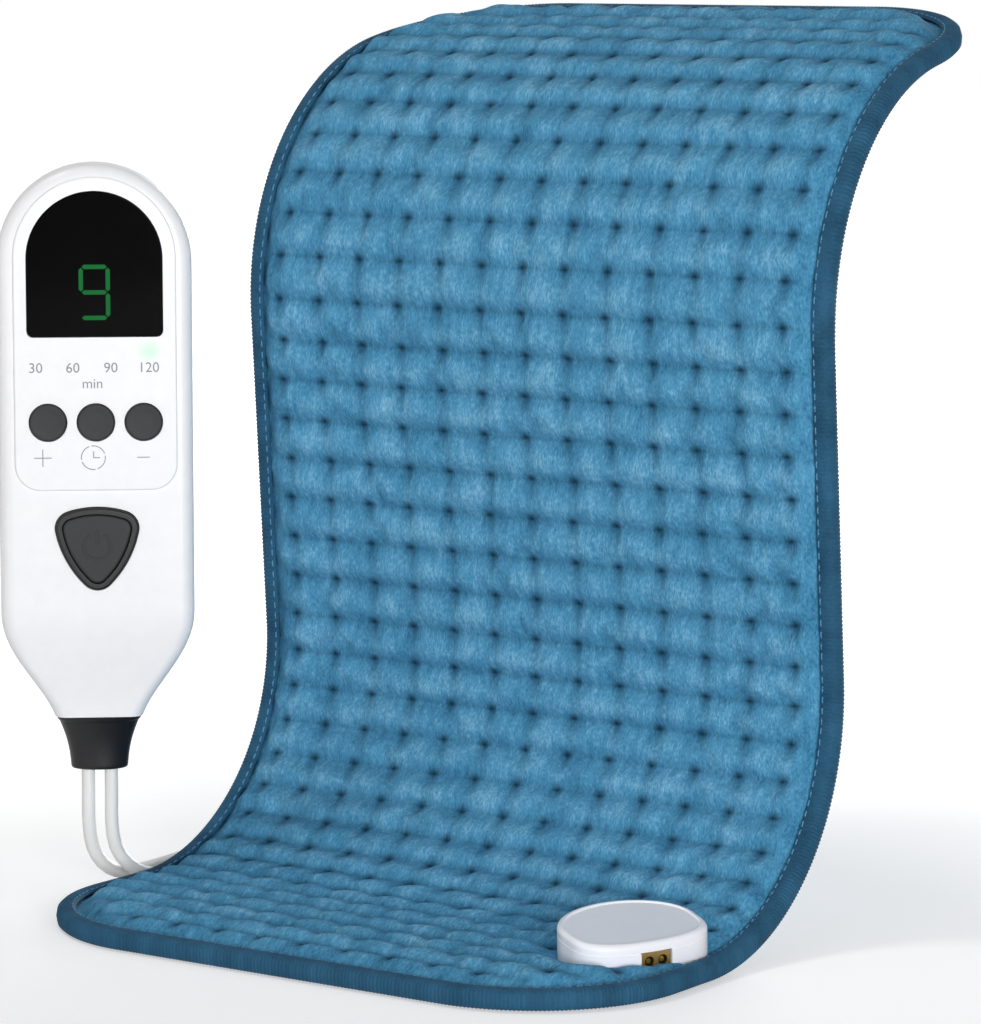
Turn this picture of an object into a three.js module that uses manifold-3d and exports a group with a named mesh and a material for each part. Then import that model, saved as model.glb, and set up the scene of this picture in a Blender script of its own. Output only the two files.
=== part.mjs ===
// A heating pad with a hand controller. The quilted pad stands in an S curve, its front part on the floor,
// and the controller stands upright beside it on its two cords, whose spare length is coiled behind the pad.
// Millimetres, +Z up, -Y to the front. The origin is the middle of the flat underside that the pad rests on.
import * as THREE from 'three';
import { mergeVertices } from 'three/addons/utils/BufferGeometryUtils.js';
import loadManifold from 'manifold-3d';

const wasm = await loadManifold();
wasm.setup();

const degree = Math.PI / 180;

// How far the middle of a quarter round lies from the corner that it takes off, as a share of its radius
const roundMiddle = 1 - Math.SQRT1_2;

// Gap between pieces that touch or fit, and how far a cutting shape reaches past the face it cuts
const clearance = 0.3;
const overcut = 2;

// Pad: its outline, and the S curve of its underside from the front edge to the far edge
const padWidth = 240;
const cornerRadius = 55;
const flatLength = 77;
const riseRadius = 81;
const leanAngle = 94 * degree;
const uprightLength = 112;
const fallRadius = 86;
const endAngle = 13 * degree;
const endLength = 56;
const cornerSteps = 5;

// Pad layers, from the underside up
const backThickness = 1.4;
const carrierThickness = 0.4;
const wireDiameter = 1.8;
const battingThickness = 1.6;
const coverThickness = 1.0;
const swellHeight = 4.0;
const hemThickness = 1.8;
const bindingTape = 1.0;
const bindingReach = 6.5;
const hemSlope = 5.4;
const borderSwell = 3.7;

// Tufts sewn through the cover: cells across and along, and the distance of the outer tufts from the edge
const tuftCellsAcross = 12;
const tuftCellsAlong = 29;
const tuftMargin = 16;

// Heating wire: tuft rows between runs, and the distance of its turns from the edge and from the socket
const wireRowStep = 2;
const wireMargin = 20;
const wireSocketGap = 4;
const wireEase = 0.2;
const thermostatSize = new THREE.Vector3(14, 8, 1.8);
const thermostatPlaces = [-70, 10];

// Socket on the pad: an oval housing with a flat mouth and a sloping top, at the end of the pad's flat part
const socketTurn = -25 * degree;
const socketTilt = 2 * degree;
const socketBeforeRise = 8.5;
const socketDepth = 34;
const socketBreadth = 50;
const mouthFlatness = 0.5;
const socketFrontHeight = 9;
const socketRearHeight = 15.5;
const socketWall = 2;
const socketEdgeRound = 2.4;
const socketBaseThickness = 1.8;
const socketBaseInset = 4;
const insertWidth = 11;
const insertHeight = 6;
const insertLength = 9;
const insertRecess = 0.8;
const contactPitch = 5;
const contactDiameter = 1.8;
const contactLength = 5;

// Controller: place of the boot's lower end, turn about the vertical, and outline of the case
const controllerBeside = 13;
const controllerPlace = new THREE.Vector3(-padWidth / 2 - controllerBeside, 35.6, 43);
const controllerTurn = 40 * degree;
const caseWidth = 67;
const caseLength = 192;
const shoulderHeight = 37;
const neckWidth = 30.4;
const neckFlare = 0.25;
const neckHandle = 0.32;
const shoulderHandle = 0.6;
const caseFront = 13;
const caseBack = 14;
const caseEndDepth = 9.8;
const caseWall = 2.2;
const caseRound = 5;

// Raised panel and the window of the display, measured down from the top of the case
const panelMargin = 5.6;
const panelTopMargin = 4.1;
const panelBelowButtons = 23.7;
const panelRise = 1.2;
const panelCorner = 9;
const windowTop = 9.2;
const windowWidth = 46.2;
const windowLength = 49.6;
const windowCorner = 2;
const lensLip = 1.5;
const lensLipThickness = 1.2;
const lensRecess = 0.2;
const displayWidth = 22;
const displayLength = 30;

// Buttons, measured down from the top of the case
const buttonsBelowLeds = 24.5;
const buttonSpacing = 3.8;
const buttonDiameter = 12.6;
const buttonRise = 1.4;
const buttonFit = 0.35;
const buttonTravel = 0.8;
const buttonLip = 1.0;
const buttonLipThickness = 1.2;
const stemDiameter = 4;
const powerBelowPanel = 20.4;
const powerCornerRadius = 6;
const powerHalfWidth = 8.3;
const powerUpper = 7.2;
const powerLower = 8.2;
const bezelRise = 1.2;
const bezelWidth = 2.2;
const powerRise = 1.0;

// Board and what stands on it, measured down from the top of the case
const boardGap = 0.9;
const boardTop = 19;
const boardLength = 134;
const boardThickness = 1.6;
const stemLength = 0.5;
const switchSize = 6.2;
const switchHeight = 3.4;
const plungerDiameter = 3.4;
const plungerRise = 1.4;
const plungerDepth = 1.3;
const ledsBelowWindow = 5.1;
const ledPitch = 12.4;
const ledDiameter = 3;
const controllerChipSize = new THREE.Vector3(12, 1.8, 12);
const chipBelowLeds = 28;
const triacSize = new THREE.Vector3(10, 4.6, 15);
const triacAcross = -12;
const triacGap = 5;
const capacitorSize = new THREE.Vector3(13, 6.5, 11);
const capacitorAcross = 10;
const fuseDiameter = 5;
const fuseLength = 20;
const fuseGap = 2.5;
const terminalSize = new THREE.Vector3(18, 8, 9);
const terminalEdge = 2;

// Screws that hold the case, and the posts that hold the board
const screwEdge = 8.3;
const screwBelowLeds = 11.1;
const screwAboveEnd = 8;
const screwDiameter = 2.6;
const screwLength = 17;
const screwHeadDiameter = 5.6;
const screwHeadHeight = 2;
const screwHeadSink = 1.2;
const bossWall = 1.7;
const postDiameter = 4;
const postEdge = 3.5;

// Boot at the lower end of the case
const bootLength = 19;
const bootStep = 0.5;
const bootEndWidth = 19.7;
const bootEndDepth = 13;
const bootWaist = 0.22;
const bootFlareShares = [0.3, 0.55, 0.8, 1];
const bootEndRound = 1;
const bootCollarGap = 0.8;
const bootCollarLedge = 1.3;
const bootCollarLength = 3;

// Cords: both leave the boot, run along the floor behind the pad's left edge, and are coiled behind the pad
const cordDiameter = 4.8;
const cordSpacing = 8;
const cordSides = 8;
const cordStepLength = 12;
const cordFloorLevel = 2.5;
const turnGap = 0.8;
const layerGap = 0.6;
const loopSteps = 24;
const loopSides = 6;
const climbTurns = 0.5;
const mainsCoil = {
  centre: new THREE.Vector2(-105, 205),
  radius: 45,
  turns: 3.25,
  start: 180 * degree,
  sense: -1,
};
const padCoil = {
  centre: new THREE.Vector2(-15, 205),
  radius: 34,
  turns: 1.25,
  start: -90 * degree,
  sense: 1,
};

// Mains plug with two flat blades, and the pad plug with two sleeves
const mainsPlugPlace = new THREE.Vector3(-80, 277, 0);
const mainsPlugSize = new THREE.Vector3(36, 26, 17);
const bladeSize = new THREE.Vector3(17, 1.5, 6.3);
const bladePitch = 12.7;
const bladeSeat = 4;
const padPlugPlace = new THREE.Vector3(29, 136, 0);
const padPlugSize = new THREE.Vector3(30, 19, 10);
const sleeveDiameter = 2.8;
const sleeveFit = 0.1;
const sleeveLength = 8;
const plugGripLength = 6;
const plugGripShare = 0.55;
const plugShoulderShare = 0.96;
const plugFaceShare = 0.94;
const plugFaceRound = 1;
const plugSquareness = 0.5;
const plugSides = 20;

// Colours
const plushBlue = 0x3d7fae;
const bindingBlue = 0x2c6690;
const backBlue = 0x35709b;
const battingWhite = 0xe9e6df;
const wireRed = 0xa8433a;
const caseWhite = 0xf3f3f4;
const socketWhite = 0xe9eaf1;
const rubberGrey = 0x474747;
const bootBlack = 0x2c2c2c;
const lensBlack = 0x08090a;
const boardGreen = 0x1f6a45;
const brass = 0x9a8452;
const steel = 0xb4b6b9;
const partBlack = 0x1d1e20;
const ledGreen = 0x9fe8b4;
const cordWhite = 0xf1f1ef;

// Levels of the pad's layers above its underside
const carrierBottom = backThickness + clearance;
const carrierTop = carrierBottom + carrierThickness;
const wireLevel = carrierTop + clearance + wireEase + wireDiameter / 2;
const battingBottom = wireLevel + wireDiameter / 2 + wireEase + clearance;
const battingTop = battingBottom + battingThickness;
const coverBottom = battingTop + clearance;
const tuftLevel = coverBottom + coverThickness;
const swellLevel = tuftLevel + swellHeight;
const backHemBottom = bindingTape + clearance;
const backHemTop = backHemBottom + hemThickness;
const coverHemBottom = backHemTop + clearance;
const coverHemTop = coverHemBottom + hemThickness;
const bindingHeight = coverHemTop + clearance + bindingTape;

// Distances of the layers' rims from the pad's outer edge
const hemInset = bindingTape + clearance;
const bindingInner = bindingReach + clearance;
const slopeStart = bindingInner + bindingTape;
const slopeEnd = slopeStart + hemSlope;
const backSlopeEnd = slopeStart + backHemTop - backThickness;
const borderInset = bindingInner + borderSwell;

// Middle of the socket: as near to the binding as it fits, lifted so its tilted base clears the sheet below
const socketReach = turnedReach(socketRing(socketDepth, socketBreadth, () => 0));
const socketBaseDepth = socketDepth - 2 * socketBaseInset;
const socketBaseBreadth = socketBreadth - 2 * socketBaseInset;
const socketBaseReach = turnedReach(socketRing(socketBaseDepth, socketBaseBreadth, () => 0));
const socketAcross = padWidth / 2 - bindingInner - clearance - socketReach.x;
const socketFromFront = flatLength - socketBeforeRise;
const socketLift = socketBaseReach.y * Math.sin(socketTilt);

const padLength = flatLength + riseRadius * leanAngle + uprightLength
  + fallRadius * (leanAngle - endAngle) + endLength;
const tuftPitchAcross = (padWidth - 2 * tuftMargin) / tuftCellsAcross;
const tuftPitchAlong = (padLength - 2 * tuftMargin) / tuftCellsAlong;

function material(color, roughness, metalness = 0) {
  return new THREE.MeshStandardMaterial({ color, roughness, metalness });
}

function addPart(group, name, geometry, look) {
  const mesh = new THREE.Mesh(geometry, look);
  mesh.name = name;
  group.add(mesh);
  return mesh;
}

// Only positions are kept, so that corners shared by faces become one vertex
function welded(geometry) {
  geometry.deleteAttribute('normal');
  geometry.deleteAttribute('uv');
  return mergeVertices(geometry, 1e-4);
}

function fromTriangles(triangles) {
  const geometry = new THREE.BufferGeometry();
  geometry.setFromPoints(triangles.flat());
  return welded(geometry);
}

function toSolid(geometry) {
  const plain = welded(geometry.clone());
  const mesh = new wasm.Mesh({
    numProp: 3,
    vertProperties: new Float32Array(plain.attributes.position.array),
    triVerts: new Uint32Array(plain.index.array),
  });
  return new wasm.Manifold(mesh);
}

function fromSolid(solid) {
  const mesh = solid.getMesh();
  const geometry = new THREE.BufferGeometry();
  geometry.setAttribute('position', new THREE.BufferAttribute(new Float32Array(mesh.vertProperties), 3));
  geometry.setIndex(new THREE.BufferAttribute(new Uint32Array(mesh.triVerts), 1));
  return geometry;
}

function join(...geometries) {
  return fromSolid(geometries.map(toSolid).reduce((sum, solid) => sum.add(solid)));
}

function cut(body, ...tools) {
  return fromSolid(tools.map(toSolid).reduce((rest, tool) => rest.subtract(tool), toSolid(body)));
}

function common(first, second) {
  return fromSolid(toSolid(first).intersect(toSolid(second)));
}

function box(size, centre) {
  return new THREE.BoxGeometry(size.x, size.y, size.z).translate(centre.x, centre.y, centre.z);
}

// Faces between two rings of as many points, the first one higher up or further round the section
function band(upper, lower) {
  const faces = [];
  upper.forEach((point, i) => {
    const j = (i + 1) % upper.length;
    faces.push([lower[i], lower[j], upper[j]], [lower[i], upper[j], point]);
  });
  return faces;
}

function fan(ring, upward) {
  const centre = ring.reduce((sum, point) => sum.add(point), new THREE.Vector3()).divideScalar(ring.length);
  return ring.map((point, i) => {
    const next = ring[(i + 1) % ring.length];
    return upward ? [point, next, centre] : [next, point, centre];
  });
}

// A closed body through rings that run anticlockwise seen from above, listed from the lowest up
function loft(rings) {
  const faces = [...fan(rings[0], false), ...fan(rings.at(-1), true)];
  for (let i = 1; i < rings.length; i += 1) {
    faces.push(...band(rings[i], rings[i - 1]));
  }
  return fromTriangles(faces);
}

function ovalRing(width, depth, heightAt, sides = 24) {
  return Array.from({ length: sides }, (_, i) => {
    const angle = (2 * Math.PI * i) / sides;
    const x = (width / 2) * Math.cos(angle);
    return new THREE.Vector3(x, (depth / 2) * Math.sin(angle), heightAt(x));
  });
}

function ovalPrism(width, depth, from, to) {
  return loft([ovalRing(width, depth, () => from), ovalRing(width, depth, () => to)]);
}

// The socket's outline: an oval whose front half is drawn out to a flat mouth
function socketRing(depth, breadth, heightAt) {
  return ovalRing(depth, breadth, () => 0).map((point) => {
    const share = (2 * point.x) / depth;
    const x = share > 0 ? (depth / 2) * share ** mouthFlatness : point.x;
    return new THREE.Vector3(x, point.y, heightAt(x));
  });
}

function socketPrism(depth, breadth, from, to) {
  return loft([socketRing(depth, breadth, () => from), socketRing(depth, breadth, () => to)]);
}

// How far an outline reaches across and along the pad when it is turned as the socket is
function turnedReach(ring) {
  const turned = ring.map((point) => point.clone().applyAxisAngle(new THREE.Vector3(0, 0, 1), socketTurn));
  return new THREE.Vector2(
    Math.max(...turned.map((point) => Math.abs(point.x))),
    Math.max(...turned.map((point) => Math.abs(point.y))),
  );
}

// A tube through points, with its section turned to the given normals
function tube(points, normals, diameter, sides) {
  const rings = points.map((point, i) => {
    const before = points[Math.max(i - 1, 0)];
    const after = points[Math.min(i + 1, points.length - 1)];
    const along = after.clone().sub(before).normalize();
    const side = new THREE.Vector3().crossVectors(along, normals[i]).normalize();
    const up = new THREE.Vector3().crossVectors(side, along);
    return Array.from({ length: sides }, (_, k) => {
      const angle = (2 * Math.PI * (k + 0.5)) / sides;
      const offset = side.clone().multiplyScalar(Math.cos(angle)).addScaledVector(up, Math.sin(angle));
      return point.clone().addScaledVector(offset, diameter / 2);
    });
  });
  const faces = [...fan(rings[0], true), ...fan(rings.at(-1), false)];
  for (let i = 1; i < rings.length; i += 1) {
    faces.push(...band(rings[i - 1], rings[i]));
  }
  return fromTriangles(faces);
}

// Pad: the S curve, and the points on it

const curveParts = [
  { length: flatLength, turn: 0 },
  { length: riseRadius * leanAngle, turn: leanAngle },
  { length: uprightLength, turn: 0 },
  { length: fallRadius * (leanAngle - endAngle), turn: endAngle - leanAngle },
  { length: endLength, turn: 0 },
];

function curveAt(distance) {
  const place = { y: -flatLength / 2, z: 0, angle: 0 };
  let left = distance;
  for (const part of curveParts) {
    const step = Math.min(left, part.length);
    const bend = part.turn / part.length;
    const angle = place.angle + bend * step;
    if (bend === 0) {
      place.y += step * Math.cos(angle);
      place.z += step * Math.sin(angle);
    } else {
      place.y += (Math.sin(angle) - Math.sin(place.angle)) / bend;
      place.z += (Math.cos(place.angle) - Math.cos(angle)) / bend;
    }
    place.angle = angle;
    left -= step;
  }
  return place;
}

const tuftRows = Array.from({ length: tuftCellsAlong + 1 }, (_, j) => tuftMargin + j * tuftPitchAlong);
const stations = [0, ...tuftRows, padLength];
const stationPlaces = stations.map(curveAt);

// Every layer bends at the same stations, so layers stay parallel. u runs across, s along, level up.
function padPoint(u, s, level) {
  const next = Math.max(stations.findIndex((station) => station >= s), 1);
  const share = (s - stations[next - 1]) / (stations[next] - stations[next - 1]);
  const [from, to] = [stationPlaces[next - 1], stationPlaces[next]].map((place) => new THREE.Vector3(
    u,
    place.y - level * Math.sin(place.angle),
    place.z + level * Math.cos(place.angle),
  ));
  return from.lerp(to, share);
}

// The pad's outline at a distance from its edge: up the right side, then down the left side
function padOutline(inset) {
  const radius = cornerRadius - inset;
  const side = padWidth / 2 - cornerRadius;
  const right = [];
  for (let i = 0; i <= cornerSteps; i += 1) {
    const angle = (i / cornerSteps - 1) * (Math.PI / 2);
    right.push(new THREE.Vector2(side + radius * Math.cos(angle), cornerRadius + radius * Math.sin(angle)));
  }
  for (const row of tuftRows.filter((s) => s > cornerRadius && s < padLength - cornerRadius)) {
    right.push(new THREE.Vector2(padWidth / 2 - inset, row));
  }
  for (let i = 0; i <= cornerSteps; i += 1) {
    const angle = (i / cornerSteps) * (Math.PI / 2);
    right.push(new THREE.Vector2(
      side + radius * Math.cos(angle),
      padLength - cornerRadius + radius * Math.sin(angle),
    ));
  }
  const left = right.map((point) => new THREE.Vector2(-point.x, point.y)).reverse();
  return [...right, ...left];
}

function rimRing(rim) {
  return padOutline(rim.inset).map((point) => padPoint(point.x, point.y, rim.level));
}

function inOutline(u, s, inset) {
  const radius = cornerRadius - inset;
  const past = new THREE.Vector2(
    Math.max(Math.abs(u) - (padWidth / 2 - cornerRadius), 0),
    Math.max(cornerRadius - s, s - (padLength - cornerRadius), 0),
  );
  return past.length() <= radius;
}

// A rim is closed by strips from its right side to its left side, which follow the curve
function padCap(ring, upward) {
  const faces = [];
  for (let i = 0; i + 1 < ring.length / 2; i += 1) {
    const [a, b] = [ring[i], ring[i + 1]];
    const [c, d] = [ring[ring.length - 2 - i], ring[ring.length - 1 - i]];
    faces.push(...(upward ? [[a, b, c], [a, c, d]] : [[a, c, b], [a, d, c]]));
  }
  return faces;
}

function rimBands(rings) {
  return rings.slice(1).flatMap((ring, i) => band(rings[i], ring));
}

// A layer is listed by its rims, from the upper one outwards, down and in to the lower one
function padLayer(rims) {
  const rings = rims.map(rimRing);
  return fromTriangles([...padCap(rings[0], true), ...rimBands(rings), ...padCap(rings.at(-1), false)]);
}

function padRing(section) {
  const rings = section.map(rimRing);
  return fromTriangles(rimBands([...rings, rings[0]]));
}

// Faces between an outer and an inner loop with different points, closed by the shorter diagonal each time
function bridge(outer, inner, outerLevel, innerLevel) {
  const nearest = inner.reduce((best, point, i) => (
    point.distanceTo(outer[0]) < inner[best].distanceTo(outer[0]) ? i : best), 0);
  const turned = [...inner.slice(nearest), ...inner.slice(0, nearest)];
  const outerAt = (i) => outer[i % outer.length];
  const innerAt = (j) => turned[j % turned.length];
  const lift = (point, level) => padPoint(point.x, point.y, level);
  const faces = [];
  let i = 0;
  let j = 0;
  while (i < outer.length || j < turned.length) {
    const stepOuter = outerAt(i + 1).distanceTo(innerAt(j));
    const stepInner = outerAt(i).distanceTo(innerAt(j + 1));
    const here = [lift(outerAt(i), outerLevel), lift(innerAt(j), innerLevel)];
    if (j === turned.length || (i < outer.length && stepOuter <= stepInner)) {
      i += 1;
      faces.push([here[0], lift(outerAt(i), outerLevel), here[1]]);
    } else {
      j += 1;
      faces.push([here[0], lift(innerAt(j), innerLevel), here[1]]);
    }
  }
  return faces;
}

function tuftPoint(column, row) {
  return new THREE.Vector2(column * tuftPitchAcross - (padWidth / 2 - tuftMargin), tuftRows[row]);
}

// Cells between four tufts; those that a rounded corner cuts off are left out
function tuftCells() {
  const cells = [];
  for (let row = 0; row < tuftCellsAlong; row += 1) {
    for (let column = 0; column < tuftCellsAcross; column += 1) {
      const corners = [[column, row], [column + 1, row], [column + 1, row + 1], [column, row + 1]];
      const inside = corners.every(([i, j]) => {
        const point = tuftPoint(i, j);
        return inOutline(point.x, point.y, borderInset + clearance);
      });
      if (inside) {
        cells.push(corners);
      }
    }
  }
  return cells;
}

// The loop round all cells: the edges that belong to one cell only, chained end to start
function tuftBorder(cells) {
  const ends = new Map();
  for (const corners of cells) {
    corners.forEach((corner, i) => ends.set(`${corner}>${corners[(i + 1) % 4]}`, corners[(i + 1) % 4]));
  }
  const nextOf = new Map();
  for (const [edge, end] of ends) {
    const [from, to] = edge.split('>');
    if (!ends.has(`${to}>${from}`)) {
      nextOf.set(from, end);
    }
  }
  const first = nextOf.keys().next().value;
  const loop = [];
  let key = first;
  do {
    const corner = nextOf.get(key);
    loop.push(tuftPoint(...corner));
    key = `${corner}`;
  } while (key !== first);
  return loop;
}

function frontCover() {
  const cells = tuftCells();
  const rims = [
    { inset: borderInset, level: tuftLevel + swellHeight / 2 },
    { inset: bindingInner, level: coverHemTop },
    { inset: hemInset, level: coverHemTop },
    { inset: hemInset, level: coverHemBottom },
    { inset: slopeStart, level: coverHemBottom },
    { inset: slopeEnd, level: coverBottom },
  ];
  const rings = rims.map(rimRing);
  const faces = [...rimBands(rings), ...padCap(rings.at(-1), false)];
  faces.push(...bridge(padOutline(borderInset), tuftBorder(cells), rims[0].level, tuftLevel));
  for (const corners of cells) {
    const points = corners.map((corner) => tuftPoint(...corner));
    const middle = points[0].clone().add(points[2]).divideScalar(2);
    const top = padPoint(middle.x, middle.y, swellLevel);
    const low = points.map((point) => padPoint(point.x, point.y, tuftLevel));
    low.forEach((point, i) => faces.push([point, low[(i + 1) % 4], top]));
  }
  return fromTriangles(faces);
}

function backCover() {
  return padLayer([
    { inset: backSlopeEnd, level: backThickness },
    { inset: slopeStart, level: backHemTop },
    { inset: hemInset, level: backHemTop },
    { inset: hemInset, level: backHemBottom },
    { inset: bindingInner, level: backHemBottom },
    { inset: bindingInner, level: 0 },
  ]);
}

function edgeBinding() {
  return padRing([
    { inset: bindingReach, level: bindingHeight },
    { inset: 0, level: bindingHeight },
    { inset: 0, level: 0 },
    { inset: bindingReach, level: 0 },
    { inset: bindingReach, level: bindingTape },
    { inset: bindingTape, level: bindingTape },
    { inset: bindingTape, level: bindingHeight - bindingTape },
    { inset: bindingReach, level: bindingHeight - bindingTape },
  ]);
}

// Runs go across the pad from the socket's end to the far end, joined by half turns at the sides
function heatingWire() {
  const turnRadius = (wireRowStep * tuftPitchAlong) / 2;
  const turnSteps = 5;
  const reach = padWidth / 2 - wireMargin - turnRadius;
  const socketSide = socketAcross - socketReach.x - wireSocketGap - turnRadius;
  const socketEnd = socketFromFront + socketReach.y + wireSocketGap;
  const rightReach = (s) => (s < socketEnd ? Math.min(reach, socketSide) : reach);
  const lastRun = padLength - wireMargin - turnRadius;
  const runs = tuftRows.filter((s, j) => j % wireRowStep === 1 && s <= lastRun);
  const route = [];
  runs.forEach((s, k) => {
    const next = runs[k + 1];
    const goesLeft = k % 2 === 0;
    const before = runs[k - 1];
    const start = goesLeft ? Math.min(rightReach(s), rightReach(before ?? s)) : -reach;
    const end = goesLeft ? -reach : Math.min(rightReach(s), rightReach(next ?? s));
    route.push(new THREE.Vector2(start, s), new THREE.Vector2(end, s));
    for (let i = 1; next !== undefined && i < turnSteps; i += 1) {
      const angle = (Math.PI * i) / turnSteps;
      const out = turnRadius * Math.sin(angle) * (goesLeft ? -1 : 1);
      route.push(new THREE.Vector2(end + out, s + turnRadius * (1 - Math.cos(angle))));
    }
  });
  const points = route.map((point) => padPoint(point.x, point.y, wireLevel));
  const normals = route.map((point, i) => padPoint(point.x, point.y, swellLevel).sub(points[i]).normalize());
  return tube(points, normals, wireDiameter, loopSides);
}

// Socket: built with its mouth towards +X, its base level with the top of the wire carrier

const socketBottom = carrierTop + clearance;
const shellBottom = socketBottom + socketBaseThickness + clearance;

function socketTop(x) {
  const share = x / socketDepth + 0.5;
  return shellBottom + socketRearHeight + (socketFrontHeight - socketRearHeight) * share;
}

function socketDome(shrink, drop, bottom) {
  const ring = (inset, fall) => socketRing(
    socketDepth - 2 * (shrink + inset),
    socketBreadth - 2 * (shrink + inset),
    (x) => socketTop(x) - drop - fall,
  );
  return loft([
    socketRing(socketDepth - 2 * shrink, socketBreadth - 2 * shrink, () => bottom),
    ring(0, socketEdgeRound),
    ring(socketEdgeRound * roundMiddle, socketEdgeRound * roundMiddle),
    ring(socketEdgeRound, 0),
  ]);
}

const insertLevel = shellBottom + clearance + insertHeight / 2;
const insertFront = socketDepth / 2 - insertRecess;

function insertBlock(grow) {
  const size = new THREE.Vector3(insertLength, insertWidth + 2 * grow, insertHeight + 2 * grow);
  return box(size, new THREE.Vector3(insertFront - insertLength / 2, 0, insertLevel));
}

function socketShell() {
  const mouth = insertBlock(clearance).translate(insertLength / 2, 0, 0);
  return cut(
    socketDome(0, 0, shellBottom),
    socketDome(socketWall, socketWall, shellBottom - overcut),
    insertBlock(clearance),
    mouth,
  );
}

function contactRod(diameter, length, from, side) {
  return new THREE.CylinderGeometry(diameter / 2, diameter / 2, length, 16)
    .rotateZ(Math.PI / 2)
    .translate(from + length / 2, (side * contactPitch) / 2, insertLevel);
}

const contactStart = insertFront - insertRecess - contactLength;

function socketInsert() {
  const holes = [-1, 1].map((side) => contactRod(
    sleeveDiameter + 2 * clearance,
    insertFront - contactStart + clearance + overcut,
    contactStart - clearance,
    side,
  ));
  return cut(insertBlock(0), ...holes);
}

// Controller: built upright at the boot's lower end, its face towards -Y

const caseBottom = bootLength + clearance;
const caseTop = caseBottom + caseLength;
const archCentre = caseTop - caseWidth / 2;
const panelFace = -caseFront - panelRise;
const faceInner = -caseFront + caseWall;
const ledRow = windowTop + windowLength + ledsBelowWindow;
const buttonRow = ledRow + buttonsBelowLeds;
const buttonPitch = buttonDiameter + buttonSpacing;
const panelBottomDrop = buttonRow + panelBelowButtons;
const powerDrop = panelBottomDrop + powerBelowPanel;
const displayDrop = windowTop + windowLength - displayLength / 2;

// Height above the boot's lower end of a place given down from the top of the case
function drop(distance) {
  return caseTop - distance;
}

// A shape drawn across and up, made into a plate from one depth to another nearer the front
function plate(shape, from, to, curveSegments = 5) {
  const geometry = new THREE.ExtrudeGeometry(shape, { depth: from - to, bevelEnabled: false, curveSegments });
  return geometry.rotateX(Math.PI / 2).translate(0, from, 0);
}

function roundRod(diameter, x, height, from, to, sides = 12) {
  return new THREE.CylinderGeometry(diameter / 2, diameter / 2, from - to, sides)
    .translate(x, (from + to) / 2, height);
}

function caseOutline() {
  const half = caseWidth / 2;
  const neck = neckWidth / 2;
  const shoulder = caseBottom + shoulderHeight;
  const shape = new THREE.Shape();
  shape.moveTo(neck, caseBottom);
  shape.bezierCurveTo(
    neck + (half - neck) * neckFlare,
    caseBottom + shoulderHeight * neckHandle,
    half,
    caseBottom + shoulderHeight * shoulderHandle,
    half,
    shoulder,
  );
  shape.lineTo(half, archCentre);
  shape.absarc(0, archCentre, half, 0, Math.PI, false);
  shape.lineTo(-half, shoulder);
  shape.bezierCurveTo(
    -half,
    caseBottom + shoulderHeight * shoulderHandle,
    -neck - (half - neck) * neckFlare,
    caseBottom + shoulderHeight * neckHandle,
    -neck,
    caseBottom,
  );
  shape.closePath();
  return shape;
}

// The case's rounded body, or its hollow when a wall is taken off
function caseBody(wall) {
  const round = caseRound - wall / 2;
  const depth = caseFront + caseBack - 2 * wall - 2 * round;
  const geometry = new THREE.ExtrudeGeometry(caseOutline(), {
    depth,
    curveSegments: 8,
    bevelThickness: round,
    bevelSize: round,
    bevelOffset: -round - wall,
    bevelSegments: 3,
  });
  return geometry.rotateX(Math.PI / 2).translate(0, caseBack - wall - round, 0);
}

// Side view of one half of the case: its depth narrows towards the boot
function caseHalf(wall, depth, parting, sense) {
  const past = caseWidth + overcut;
  const full = sense * (depth - wall);
  const end = sense * (caseEndDepth - wall);
  const shape = new THREE.Shape([
    new THREE.Vector2(sense * parting, caseBottom - overcut),
    new THREE.Vector2(end, caseBottom - overcut),
    new THREE.Vector2(end, caseBottom),
    new THREE.Vector2(full, caseBottom + shoulderHeight),
    new THREE.Vector2(full, caseTop + overcut),
    new THREE.Vector2(sense * parting, caseTop + overcut),
  ]);
  const geometry = new THREE.ExtrudeGeometry(shape, { depth: 2 * past, bevelEnabled: false });
  return geometry.rotateX(Math.PI / 2).rotateZ(Math.PI / 2).translate(-past, 0, 0);
}

// The boot's collar fits the hollow at the end of the case, and its neck passes through the end wall
const bootCollarWidth = neckWidth - 2 * caseWall - 2 * bootCollarGap;
const bootCollarDepth = 2 * (caseEndDepth - caseWall - bootCollarGap);
const bootNeckWidth = bootCollarWidth - 2 * bootCollarLedge;
const bootNeckDepth = bootCollarDepth - 2 * bootCollarLedge;
const bootTopWidth = neckWidth - 2 * bootStep;
const bootTopDepth = 2 * (caseEndDepth - bootStep);

function bootPassage() {
  const width = bootNeckWidth + 2 * clearance;
  const depth = bootNeckDepth + 2 * clearance;
  return ovalPrism(width, depth, caseBottom - overcut, caseBottom + caseWall + overcut);
}

function panelShape() {
  const half = caseWidth / 2 - panelMargin;
  const top = caseTop - panelTopMargin;
  const bottom = drop(panelBottomDrop);
  const shape = new THREE.Shape();
  shape.moveTo(half - panelCorner, bottom);
  shape.absarc(half - panelCorner, bottom + panelCorner, panelCorner, -Math.PI / 2, 0, false);
  shape.absarc(0, top - half, half, 0, Math.PI, false);
  shape.absarc(panelCorner - half, bottom + panelCorner, panelCorner, Math.PI, 1.5 * Math.PI, false);
  shape.closePath();
  return shape;
}

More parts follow.
